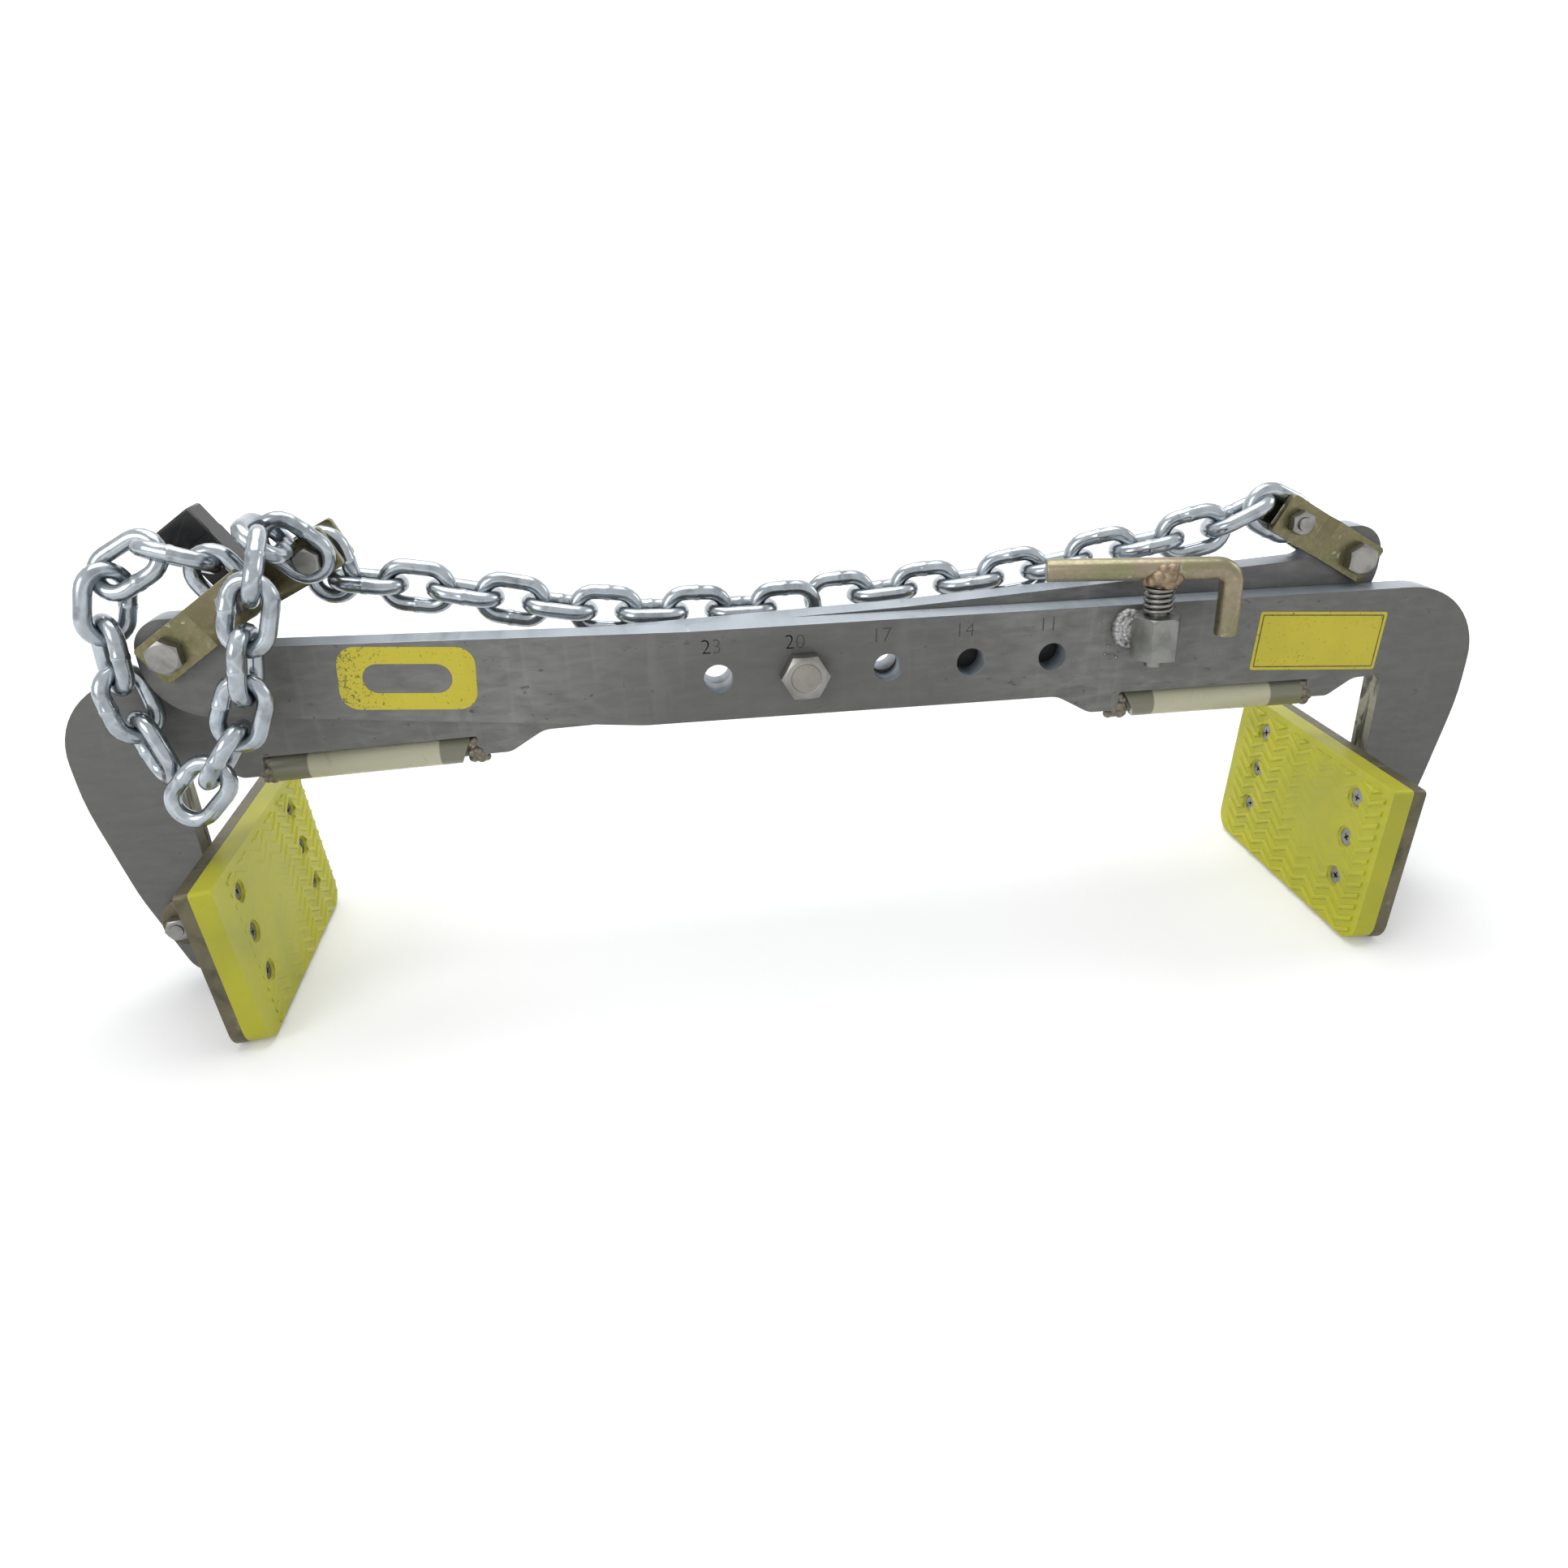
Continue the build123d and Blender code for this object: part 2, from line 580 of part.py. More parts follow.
def lug():
    """Dark steel lug between the lifting shackle's straps, with a wire clip in its head."""
    bar = Pos(0, 0, -LUG_BELOW) * Box(LUG_W, LUG_T, LUG_BELOW + LUG_ABOVE, align=UP)
    bar = fillet(bar.edges().filter_by(Axis.Y).group_by(Axis.Z)[0], LUG_FOOT_R)
    head = Box(LUG_HEAD_L, LUG_HEAD_W, LUG_HEAD_H, align=UP)
    head = chamfer(head.edges(), LUG_EDGE)
    body = bar + Pos(-LUG_HEAD_BACK, 0, LUG_ABOVE - LUG_HEAD_LAP) * head
    body -= rod(0, 0, -LUG_T, LUG_T, ARM_BOLT_D / 2 + THREAD_GAP)
    eye_x = CLIP_EDGE - LUG_HEAD_L / 2
    eye_z = LUG_ABOVE + CLIP_RISE
    side = LUG_HEAD_W / 2
    body -= rod(eye_x, eye_z, -2 * side, 2 * side, CLIP_WIRE / 2 + CLIP_HOLE_GAP)
    front = -side - CLIP_PROUD
    route = FilletPolyline((eye_x, side + CLIP_BEHIND, eye_z), (eye_x, front, eye_z),
                           (eye_x + CLIP_LEAN, front, eye_z - CLIP_DROP), radius=CLIP_BEND_R)
    section = Plane(route @ 0, z_dir=route % 0) * Circle(CLIP_WIRE / 2)
    return body, sweep(section, path=route)


# Arms and handles
for name, place in (("front", FRONT_ARM), ("rear", REAR_ARM)):
    core, hose, beads = handle()
    save(f"{name}_arm_plate", place * arm_plate())
    save(f"{name}_handle_rod", place * core)
    save(f"{name}_handle_hose", place * hose)
    save(f"{name}_handle_welds", *[place * bead for bead in beads])

# Scissor pivot
washer_seat = -FRONT_FACE + BODY_GAP
nut_seat = washer_seat + WASHER_T
pivot_end = nut_seat + PIVOT_NUT + BOLT_END
washer = rod(0, 0, washer_seat, nut_seat, WASHER_R)
washer -= rod(0, 0, washer_seat, nut_seat, PIVOT_D / 2 + RUN_GAP)
save("pivot_bolt", RAISE * bolt(0, 0, FRONT_FACE, pivot_end, PIVOT_D, PIVOT_AF, PIVOT_HEAD))
save("pivot_washer", RAISE * washer)
save("pivot_nut", RAISE * nut(0, 0, nut_seat, PIVOT_D, PIVOT_AF, PIVOT_NUT, 1))

# Jaws
for name, place in (("right", RIGHT_JAW), ("left", LEFT_JAW)):
    for piece, solids in jaw().items():
        save(f"{name}_jaw_{piece}", *[place * solid for solid in solids])

# Latch
for name, solid in latch().items():
    save(name, solid)

# Shackles
EYE_X, EYE_Z = arm_point(EYE_U, EYE_V)
SHACKLES = {
    "right_shackle": Pos(-EYE_X, PLATE_MID, EYE_Z) * Rot(0, RIGHT_SHACKLE_TURN, 0),
    "left_shackle": Pos(EYE_X, -PLATE_MID, EYE_Z) * Rot(0, LEFT_SHACKLE_TURN, 0),
    "lifting_shackle": Pos(*LIFT_SHACKLE_AT) * Rot(0, LIFT_SHACKLE_TURN, 0),
}
for name, place in SHACKLES.items():
    pieces = lifting_shackle() if name == "lifting_shackle" else shackle()
    for piece, solids in pieces.items():
        save(f"{name}_{piece}", *[RAISE * place * solid for solid in solids])
lug_body, lug_clip = lug()
lug_place = RAISE * Pos(*LIFT_SHACKLE_AT) * Rot(0, LUG_TILT, 0)
save("lifting_lug", lug_place * lug_body)
save("lifting_lug_clip", lug_place * lug_clip)


def chain_bolt_at(name):
    """Centre of a shackle's chain bolt, from the pivot."""
    return (SHACKLES[name] * Pos(STRAP_PITCH, 0, 0)).position


# Chain
def on_bolt(name, degrees):
    """Point on the face of a shackle's chain bolt, at an angle in X, Z; a link's end bears there."""
    angle = math.radians(degrees)
    seat = CHAIN_BOLT_D / 2
    return chain_bolt_at(name) + Vector(seat * math.cos(angle), 0, seat * math.sin(angle))


ACROSS = Vector(0, 1, 0)
UPWARD = Vector(0, 0, 1)
right_start = on_bolt("right_shackle", -29.4)
right_route = [right_start, right_start + Vector(-9, 0, 4.6), right_start + Vector(-18, 0, 9),
               (198, 8, 48.5), (180, 12, 43), (160, 17, 38.5), (138, 22.5, 33.5),
               (116, 28, 28.5), (96, 32, 25), (60, 37, 21.5), (20, 38.4, 19.5), (-20, 38.4, 19.5)]
save("chain_right_strand", *run_of_links(right_route, 11, ACROSS))

behind = LIFT_STRAP_IN / 2
drop_top = on_bolt("lifting_shackle", 90) + Vector(0, behind, 0)
drop_way = Vector(math.sin(DROP_LEAN), 0, -math.cos(DROP_LEAN))
drop_end = drop_top + drop_way * LINK_PITCH
save("chain_drop_link", *run_of_links([drop_top, drop_end + drop_way], 1, ACROSS))
middle_route = [drop_end + Vector(WIRE / 2, 0, WIRE / 2), (-186, 27.5, 45), (-168, 26.5, 42),
                (-148, 26, 38), (-128, 26, 33), (-108, 26, 28.5), (-88, 26.5, 24.5),
                (-60, 28.5, 21.5), (-30, 30.7, 19.5), (0, 31, 19), (30, 31, 19)]
save("chain_middle_run", *run_of_links(middle_route, 10, UPWARD))

before = LIFT_STRAP_IN + STRAP_T + BODY_GAP + WIRE / 2
loop_start = on_bolt("lifting_shackle", -41.3) + Vector(0, -before, 0)
loop_route = [loop_start, (-217.5, 8.3, 72.6), (-218, -11, 74), (-218, -28, 61),
              (-224, -31.5, 46), (-226, -31.5, 29), (-232, -31.5, 11), (-241, -31, -6),
              (-252, -30, -19), (-263, -30, -30), (-276, -29, -38), (-284, -28, -41)]
save("chain_front_loop", *run_of_links(loop_route, 8, ACROSS, 15, 45))

left_start = on_bolt("left_shackle", -53.1)
left_route = [left_start, (-240.5, -6.4, 64), (-256, -5.5, 71), (-272, -6, 69), (-284, -9, 55),
              (-285, -11, 36), (-285, -12.5, 18), (-281, -14, 0), (-275, -17, -16),
              (-268, -21, -30)]
save("chain_left_strand", *run_of_links(left_route, 7, ACROSS, 15, 45))
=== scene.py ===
import json
import math

import bmesh
import bpy
import numpy as np
from bpy.props import FloatProperty, FloatVectorProperty, IntProperty, PointerProperty
from bpy.types import Operator, Panel, PropertyGroup
from mathutils import Matrix, Vector

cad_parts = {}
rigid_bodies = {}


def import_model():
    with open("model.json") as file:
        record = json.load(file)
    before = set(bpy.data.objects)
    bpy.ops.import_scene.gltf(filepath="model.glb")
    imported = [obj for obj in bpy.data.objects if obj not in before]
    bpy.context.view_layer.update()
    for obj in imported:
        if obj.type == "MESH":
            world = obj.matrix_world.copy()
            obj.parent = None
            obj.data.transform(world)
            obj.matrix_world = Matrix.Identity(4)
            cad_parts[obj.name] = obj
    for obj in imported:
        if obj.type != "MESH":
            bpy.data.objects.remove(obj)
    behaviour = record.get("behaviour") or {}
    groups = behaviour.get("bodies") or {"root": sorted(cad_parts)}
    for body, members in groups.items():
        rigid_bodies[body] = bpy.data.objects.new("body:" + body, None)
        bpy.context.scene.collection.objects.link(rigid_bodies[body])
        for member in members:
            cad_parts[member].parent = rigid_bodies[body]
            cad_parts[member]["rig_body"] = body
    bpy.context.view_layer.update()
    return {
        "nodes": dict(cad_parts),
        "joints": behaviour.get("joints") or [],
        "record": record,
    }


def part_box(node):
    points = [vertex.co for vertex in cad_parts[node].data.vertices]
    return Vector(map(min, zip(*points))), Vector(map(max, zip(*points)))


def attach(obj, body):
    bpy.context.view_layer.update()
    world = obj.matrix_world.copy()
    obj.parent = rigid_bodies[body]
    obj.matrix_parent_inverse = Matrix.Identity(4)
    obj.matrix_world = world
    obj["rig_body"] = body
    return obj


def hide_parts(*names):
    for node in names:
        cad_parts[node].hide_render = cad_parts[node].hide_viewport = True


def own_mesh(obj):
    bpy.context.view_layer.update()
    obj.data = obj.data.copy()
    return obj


bl_info = {
    "name": "Scissor lifting clamp",
    "version": (1, 0, 0),
    "blender": (4, 5, 0),
    "location": "View3D > Sidebar > Clamp",
    "description": "Dresses the scissor lifting clamp: plates, jaws, latch, shackles and chain",
    "category": "Object",
}

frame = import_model()
NODES = frame["nodes"]
SLOTS = {part["node"]: part["material_slot"] for part in frame["record"]["subparts"]}
JOINT_AT = {joint["name"]: Vector(joint["pos_m"]) for joint in frame["joints"] if "pos_m" in joint}
PIVOT = JOINT_AT["scissor_pivot"]
MOUNTS = frame["record"]["mounts"]
OPEN_HOLES = [Vector(mount["pos_m"]) for mount in MOUNTS if "hole" in mount["name"]]
PLATE_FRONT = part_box("front_arm_plate")[0].y
CHAIN_NODES = [name for name in NODES if name.startswith("chain_")]
STRAP_NODES = [name for name in NODES if name.endswith("_strap") and "shackle" in name]
MM = 0.001

# Edges that bend less than this stay unbevelled and are shaded smooth
SMOOTH_LIMIT = math.radians(36)
# How far a jaw hangs out of the upright at rest
JAW_HANG = math.radians(5)
# Distance of the legs' inner edges from the clamp's middle
LEG_INNER_X = 278.5 * MM
# Distance of the hoses' middles from the clamp's middle, and half the length of their pale part
HOSE_MIDDLE = 194 * MM
CLEAR_HOSE_HALF = 28.5 * MM
# Depth of the three rows of screws below a pad's upper edge
SCREW_ROWS = (14 * MM, 34.5 * MM, 55 * MM)

# On the front arm: x and z from the pivot in millimetres, then the turn in degrees
FRAME_STICKER_AT = (-170.0, 12.0, 4.7)
PLAIN_STICKER_AT = (243.0, -4.6, 4.4)
NUMBERS_TURN = 0.9
# Above each hole: its number, x and z from the pivot in millimetres
HOLE_NUMBERS = (("23", -40.3, 15.2), ("20", -3.5, 14.6), ("17", 35.2, 14.6),
                ("14", 73.0, 13.9), ("11", 111.5, 13.6))
# Weld spatter: x and z from the pivot and radius, in millimetres
SPATTER = ((144.0, 2.3, 0.75), (140.4, 1.3, 0.65), (139.1, -2.5, 0.6),
           (144.5, -4.4, 0.7), (141.8, -5.6, 0.4))
# Front of the lever's bead: x and y from the pin's axis, z from the lever's underside and
# radius of each drop, in millimetres
LEVER_DROPS = ((-3.2, -4.2, 2.0, 3.6), (1.2, -4.4, 2.6, 4.2), (5.0, -4.2, 1.4, 3.4),
               (-1.0, -4.0, 5.4, 3.0), (3.0, -4.4, 5.8, 2.8), (-5.4, -3.4, 0.6, 2.6))

# Area lamps: place and size in metres, power in watts
LAMPS = (("overhead", (-0.1, 0.3, 1.5), 1.3, 17.0),
         ("front_left", (-1.2, -1.1, 0.9), 0.9, 9.0),
         ("right_rim", (1.4, 0.2, 0.8), 0.6, 3.0))
LAMPS_AIM = Vector((0, 0, 0.1))
# Strength of the sky as a light
SKY_LIGHT = 0.42
# Half width of the floor, height of the backdrop and size of the curve between them
FLOOR_HALF = 4.0
BACKDROP_CURVE = 1.5
# The photograph's camera: lens and sensor in millimetres, eye from the pivot's axis
LENS, SENSOR = 25.92, 36.0
EYE = Vector((-63.02, -485.62, 164.69)) * MM
CAMERA_RIGHT = Vector((0.99100, -0.12747, -0.04080))
CAMERA_UP = Vector((0.08995, 0.40860, 0.90827))
CAMERA_AHEAD = Vector((0.09911, 0.90377, -0.41639))


def length(name, description, default):
    """A length setting in metres."""
    return FloatProperty(name=name, description=description, default=default, min=0.0,
                         subtype="DISTANCE", unit="LENGTH")


def colour(name, description, *default):
    """A colour setting."""
    return FloatVectorProperty(name=name, description=description, subtype="COLOR", size=4,
                               min=0.0, max=1.0, default=(*default, 1.0))


class ChainSizes(PropertyGroup):
    wire: length("Wire", "Diameter of the chain's wire", 7 * MM)
    gauge: length("Gauge", "Distance between the middles of a link's two sides", 17 * MM)
    inside: length("Inside", "Inner length of a link", 21 * MM)
    weld_swell: FloatProperty(name="Weld swell",
                              description="Size of the butt weld over the wire",
                              default=1.07, min=1.0, max=1.3)
    facets: IntProperty(name="Facets", description="Faces round the wire", default=18, min=8)


class PadSizes(PropertyGroup):
    rib_pitch: length("Rib pitch", "Height from one zigzag rib to the next", 6.0 * MM)
    zigzag: length("Zigzag", "Length of one full zigzag along the pad", 20.0 * MM)
    rise: length("Rise", "Height from a zigzag's valley to its peak", 5.4 * MM)
    rib_foot: length("Rib foot", "Width of a rib at the pad's face", 2.9 * MM)
    rib_crest: length("Rib crest", "Width of a rib at its top", 1.3 * MM)
    rib_height: length("Rib height", "How far a rib stands off the right pad", 1.0 * MM)
    left_ribs: FloatProperty(name="Left ribs",
                             description="Rib height of the more worn left pad, as a share",
                             default=0.8, min=0.1, max=1.0)
    margin: length("Margin", "Smooth border at the near and upper sides", 4.0 * MM)
    left_margin: length("Left margin", "Smooth border at the near side of the left pad", 16.0 * MM)
    far_margin: length("Far margin", "Border at the far and lower sides", 1.2 * MM)
    wear: length("Wear", "Radius of the worn patch between the middle and the near screws", 34 * MM)
    left_wear: length("Left wear", "Radius of the worn patch on the left pad", 50 * MM)
    screw_clear: length("Screw clearance", "Radius of the plain spot round each screw", 4.9 * MM)


class ScrewSizes(PropertyGroup):
    head: length("Head", "Radius of the countersunk head", 4.2 * MM)
    shank: length("Shank", "Radius of the shank", 2.5 * MM)
    sink: length("Sink", "Depth of the head under the pad's face", 1.2 * MM)
    slot: length("Slot", "Width of the cross recess", 1.25 * MM)
    reach: length("Reach", "Length of the cross recess", 5.2 * MM)
    column: length("Column", "Distance of a screw column from the pad's middle", 41 * MM)


class LabelSizes(PropertyGroup):
    film: length("Film", "Thickness of the sticker film", 0.12 * MM)
    high: length("Sticker height", "Height of both stickers", 28 * MM)
    frame_long: length("Frame length", "Length of the frame sticker", 57 * MM)
    frame_corner: length("Frame corner", "Corner radius of the frame sticker", 8 * MM)
    plain_long: length("Plain length", "Length of the plain sticker", 63 * MM)
    border_in: length("Border inset", "From the plain sticker's edge to its line", 1.3 * MM)
    border_wide: length("Border width", "Width of the plain sticker's line", 0.6 * MM)
    window_long: length("Window length", "Length of the frame sticker's window", 37 * MM)
    window_high: length("Window height", "Height of the frame sticker's window", 13 * MM)
    stamp_high: length("Stamp height", "Height of the stamped hole numbers", 9.6 * MM)
    stamp_deep: length("Stamp depth", "Depth of the stamped hole numbers", 0.3 * MM)


class EdgeSizes(PropertyGroup):
    plate: length("Plate edge", "Rounding of the arm plates", 0.4 * MM)
    fastener: length("Fastener edge", "Rounding of bolts, nuts, washers and screws", 0.25 * MM)
    strap: length("Strap edge", "Rounding of the shackle straps", 0.45 * MM)
    lug: length("Lug edge", "Rounding of the lifting lug", 0.5 * MM)
    boss: length("Boss edge", "Rounding of the latch boss", 0.4 * MM)
    lever: length("Lever edge", "Rounding of the latch lever's ends", 0.6 * MM)
    backing: length("Backing edge", "Rounding of the jaws' backing plates", 0.4 * MM)
    clevis: length("Clevis edge", "Rounding of the jaws' clevises", 0.5 * MM)
    pad: length("Pad edge", "Rounding of the pads", 1.1 * MM)
    rib: length("Rib edge", "Rounding of the ribs' crests", 0.25 * MM)


class LatchSizes(PropertyGroup):
    coil: length("Coil", "Outer diameter of the latch spring", 13.3 * MM)
    coil_wire: length("Coil wire", "Diameter of the spring's wire", 1.8 * MM)
    coil_turns: IntProperty(name="Coil turns", description="Turns of the latch spring",
                            default=4, min=2)
    press: length("Press", "How far the lever presses the spring", 4 * MM)
    bead_grain: length("Bead grain", "Fineness of the weld beads' surface", 0.3 * MM)


class Finishes(PropertyGroup):
    plate: colour("Plate", "Grey of the arm plates' faces", 0.177, 0.177, 0.17)
    plate_edge: colour("Plate edge", "Bluish zinc on the plates' edges", 0.36, 0.40, 0.44)
    flame_cut: colour("Flame cut", "Pale scale on the legs' inner edges", 0.36, 0.35, 0.28)
    # Also lines the screws' cross recesses, as painted shade
    stamped: colour("Stamped", "Bottom of the stamped numbers", 0.115, 0.115, 0.11)
    bright_zinc: colour("Bright zinc", "Bolts, nuts and screws", 0.245, 0.24, 0.225)
    head_face: colour("Head face", "Rough dish in the pivot bolt's head", 0.242, 0.232, 0.21)
    chain_zinc: colour("Chain zinc", "Bluish zinc of the chain", 0.345, 0.38, 0.41)
    boss_zinc: colour("Boss zinc", "Greyish zinc of the latch boss", 0.225, 0.23, 0.215)
    yellow_zinc: colour("Yellow zinc", "Shackle straps", 0.168, 0.15, 0.082)
    lever_zinc: colour("Lever zinc", "Latch lever", 0.265, 0.225, 0.155)
    dull_zinc: colour("Dull zinc", "Jaw backing plates and brackets", 0.12, 0.106, 0.064)
    pad: colour("Pad", "Yellow polyurethane", 0.505, 0.498, 0.036)
    # Painted shade: the pads' top and sides are a little darker than their faces, to offset the
    # light from above
    shaded_pad_side: colour("Pad top", "Rubbed sides of the pads", 0.46, 0.45, 0.036)
    hose: colour("Hose", "Milky hose over the handle rods", 0.53, 0.515, 0.365)
    hose_end: colour("Hose end", "Darker ends of the hose", 0.155, 0.155, 0.105)
    label: colour("Label", "Yellow sticker film", 0.60, 0.515, 0.03)
    black: colour("Black steel", "Blackened lifting lug", 0.009, 0.009, 0.009)
    weld: colour("Weld", "Zinc plated weld bead of the boss", 0.325, 0.33, 0.325)
    burnt_weld: colour("Burnt weld", "Brownish beads of the handles", 0.17, 0.15, 0.115)
    copper: colour("Copper weld", "Brazed bead of the lever", 0.25, 0.185, 0.12)
    floor: colour("Floor", "Pale floor and backdrop", 0.86, 0.86, 0.86)


def add(tree, kind, sockets=None, **settings):
    """New shader node with its settings, and its sockets set or linked."""
    node = tree.nodes.new(kind)
    for key, value in settings.items():
        setattr(node, key, value)
    for key, value in (sockets or {}).items():
        feed(tree, value, node.inputs[key])
    return node


def feed(tree, value, socket):
    """Links an output to a socket, or sets the socket's own value."""
    if isinstance(value, bpy.types.NodeSocket):
        tree.links.new(value, socket)
    else:
        socket.default_value = value


def placed(tree, stretch=(1, 1, 1), shift=(0, 0, 0)):
    """Object coordinates, stretched and shifted."""
    where = add(tree, "ShaderNodeTexCoord").outputs["Object"]
    return add(tree, "ShaderNodeMapping", {"Vector": where, "Scale": stretch,
                                           "Location": shift}).outputs["Vector"]


def noise(tree, scale, detail=3.0, stretch=(1, 1, 1), distortion=0.0, shift=(0, 0, 0)):
    """Grey cloud pattern; scale is in features per metre."""
    node = add(tree, "ShaderNodeTexNoise", {"Vector": placed(tree, stretch, shift),
                                            "Scale": scale, "Detail": detail,
                                            "Distortion": distortion})
    return node.outputs["Fac"]


def ramp(tree, fac, *stops):
    """Colours along a grey pattern, as (position, colour) stops."""
    node = add(tree, "ShaderNodeValToRGB", {"Fac": fac})
    elements = node.color_ramp.elements
    elements[0].position, elements[0].color = stops[0]
    elements[1].position, elements[1].color = stops[-1]
    for position, tone in stops[1:-1]:
        elements.new(position).color = tone
    return node.outputs["Color"]


def mask(tree, fac, low, high):
    """Grey pattern stretched so that low is 0 and high is 1."""
    node = add(tree, "ShaderNodeMapRange", {"Value": fac, "From Min": low, "From Max": high})
    return node.outputs["Result"]


def span(tree, fac, low, high):
    """Grey pattern mapped to values from low to high."""
    node = add(tree, "ShaderNodeMapRange", {"Value": fac, "To Min": low, "To Max": high})
    return node.outputs["Result"]


def mix(tree, fac, first, second):
    """Two colours mixed."""
    node = add(tree, "ShaderNodeMix", data_type="RGBA")
    for index, value in ((0, fac), (6, first), (7, second)):
        feed(tree, value, node.inputs[index])
    return node.outputs[2]


def maths(tree, operation, first, second=0.0):
    """One sum on two greys."""
    node = add(tree, "ShaderNodeMath", operation=operation)
    feed(tree, first, node.inputs[0])
    feed(tree, second, node.inputs[1])
    return node.outputs[0]


def blend(tree, pattern, share, base, over):
    """Lays a colour over the base where the pattern is light, by the share at most."""
    return mix(tree, maths(tree, "MULTIPLY", pattern, share), base, over)


def along_clamp(tree):
    """Place along the clamp, in metres from its middle."""
    return add(tree, "ShaderNodeSeparateXYZ", {"Vector": placed(tree)}).outputs["X"]


def distance_out(tree, where):
    """Distance of a place from the pattern's origin."""
    return add(tree, "ShaderNodeVectorMath", {0: where}, operation="LENGTH").outputs["Value"]


def sees_backdrop(tree):
    """1 for rays that show the white backdrop: from the camera, off gloss and through glass."""
    rays = add(tree, "ShaderNodeLightPath").outputs
    seen = maths(tree, "MAXIMUM", rays["Is Camera Ray"], rays["Is Glossy Ray"])
    return maths(tree, "MAXIMUM", seen, rays["Is Transmission Ray"])


def shade_of(tone, factor):
    """The same colour, lighter or darker."""
    return (*[min(1.0, channel * factor) for channel in tone[:3]], 1.0)


def new_finish(name, metallic, roughness, **sockets):
    """Material with its main shader set; sockets are set by name."""
    material = bpy.data.materials.new(name)
    material.use_nodes = True
    tree = material.node_tree
    shader = tree.nodes["Principled BSDF"]
    shader.inputs["Metallic"].default_value = metallic
    shader.inputs["Roughness"].default_value = roughness
    for key, value in sockets.items():
        shader.inputs[key.replace("_", " ")].default_value = value
    return material, tree, shader


def paint(tree, shader, base, roughness=None):
    """Links a finish's colour, and its roughness where a pattern gives it."""
    feed(tree, base, shader.inputs["Base Color"])
    if roughness is not None:
        feed(tree, roughness, shader.inputs["Roughness"])


def raised(tree, shader, height, distance, strength=1.0):
    """Bump from a grey height pattern; distance is in metres."""
    node = add(tree, "ShaderNodeBump", {"Height": height, "Distance": distance,
                                        "Strength": strength})
    tree.links.new(node.outputs["Normal"], shader.inputs["Normal"])


def plate_face_finish(name, tone, shaded=False):
    """Dull grey zinc with rolling marks, runs and specks, with painted shade at the ends and darker
    at the middle.

    Where shaded, a painted shadow darkens the face behind the open holes of the plate in front.
    """
    material, tree, shader = new_finish(name, 0.35, 0.5)
    cloud = noise(tree, 13, 5, (1, 1, 2.2), 0.4)
    base = ramp(tree, cloud, (0.28, shade_of(tone, 0.74)), (0.5, tone),
                (0.72, shade_of(tone, 1.24)))
    fine = noise(tree, 75, 6, (1, 1, 3), 0.5, (0.5, 0, 0.2))
    base = mix(tree, mask(tree, fine, 0.5, 0.9), base, shade_of(tone, 1.7))
    base = mix(tree, mask(tree, fine, 0.5, 0.15), base, shade_of(tone, 0.55))
    rolled = noise(tree, 7, 4, (2.5, 1, 70))
    base = mix(tree, span(tree, rolled, 0.0, 0.55), base, shade_of(tone, 0.86))
    runs = noise(tree, 9, 3, (14, 1, 1.4), 0.6, (0.3, 0, 0))
    base = mix(tree, mask(tree, runs, 0.56, 0.95), base, shade_of(tone, 1.5))
    speck = mask(tree, noise(tree, 190, 2, (1, 1, 1.6)), 0.69, 0.76)
    base = blend(tree, speck, 0.75, base, (0.05, 0.05, 0.05, 1.0))
    scuff = mask(tree, noise(tree, 34, 6, (1, 1, 5), 1.5, (0.1, 0, 0.4)), 0.64, 0.8)
    base = blend(tree, scuff, 0.5, base, shade_of(tone, 0.4))
    # Painted shade towards both ends of the plate, and a darker middle
    out = distance_out(tree, placed(tree, (1, 0, 0.6)))
    clouded = maths(tree, "ADD", out, maths(tree, "MULTIPLY", cloud, 0.08))
    ends = mask(tree, clouded, 0.19, 0.36)
    middle = mask(tree, out, 0.15, 0.09)
    base = blend(tree, ends, 0.8, base, shade_of(tone, 0.62))
    base = blend(tree, middle, 0.8, base, shade_of(tone, 0.6))
    # Painted shadow: near-black circles on the rear plate's face behind the front plate's open
    # holes
    for hole in OPEN_HOLES if shaded else ():
        off = distance_out(tree, placed(tree, (1, 0, 1), (-hole.x, 0, -hole.z)))
        darkening = mask(tree, off, 8.2 * MM, 6.6 * MM)
        base = blend(tree, darkening, 0.92, base, (0.008, 0.008, 0.008, 1.0))
    paint(tree, shader, base, span(tree, noise(tree, 60, 5, (1, 1, 3)), 0.36, 0.66))
    raised(tree, shader, noise(tree, 900, 4), 0.06 * MM, 0.5)
    return material


def plate_edge_finish(tone):
    """Bluish zinc over a cut edge, with drag lines across the plate."""
    material, tree, shader = new_finish("plate_edge", 0.45, 0.42)
    lines = noise(tree, 1.0, 3, (420, 24, 420))
    base = mix(tree, span(tree, lines, 0.0, 0.8), shade_of(tone, 0.86), shade_of(tone, 1.16))
    stain = mask(tree, noise(tree, 42, 5, (1, 1, 1), 0.8), 0.6, 0.8)
    base = blend(tree, stain, 0.55, base, (0.17, 0.16, 0.14, 1.0))
    paint(tree, shader, base, span(tree, lines, 0.3, 0.55))
    raised(tree, shader, lines, 0.08 * MM, 0.6)
    return material


def flame_cut_finish(tone):
    """Pale scale with black streaks, on the legs' inner edges."""
    material, tree, shader = new_finish("flame_cut_edge", 0.2, 0.55)
    lines = noise(tree, 1.0, 3, (500, 20, 500))
    base = mix(tree, lines, shade_of(tone, 0.7), shade_of(tone, 1.15))
    streak = mask(tree, noise(tree, 60, 5, (1, 1.8, 0.5), 1.4), 0.52, 0.62)
    base = blend(tree, streak, 0.85, base, (0.03, 0.03, 0.026, 1.0))
    paint(tree, shader, base)
    raised(tree, shader, lines, 0.15 * MM, 0.8)
    return material


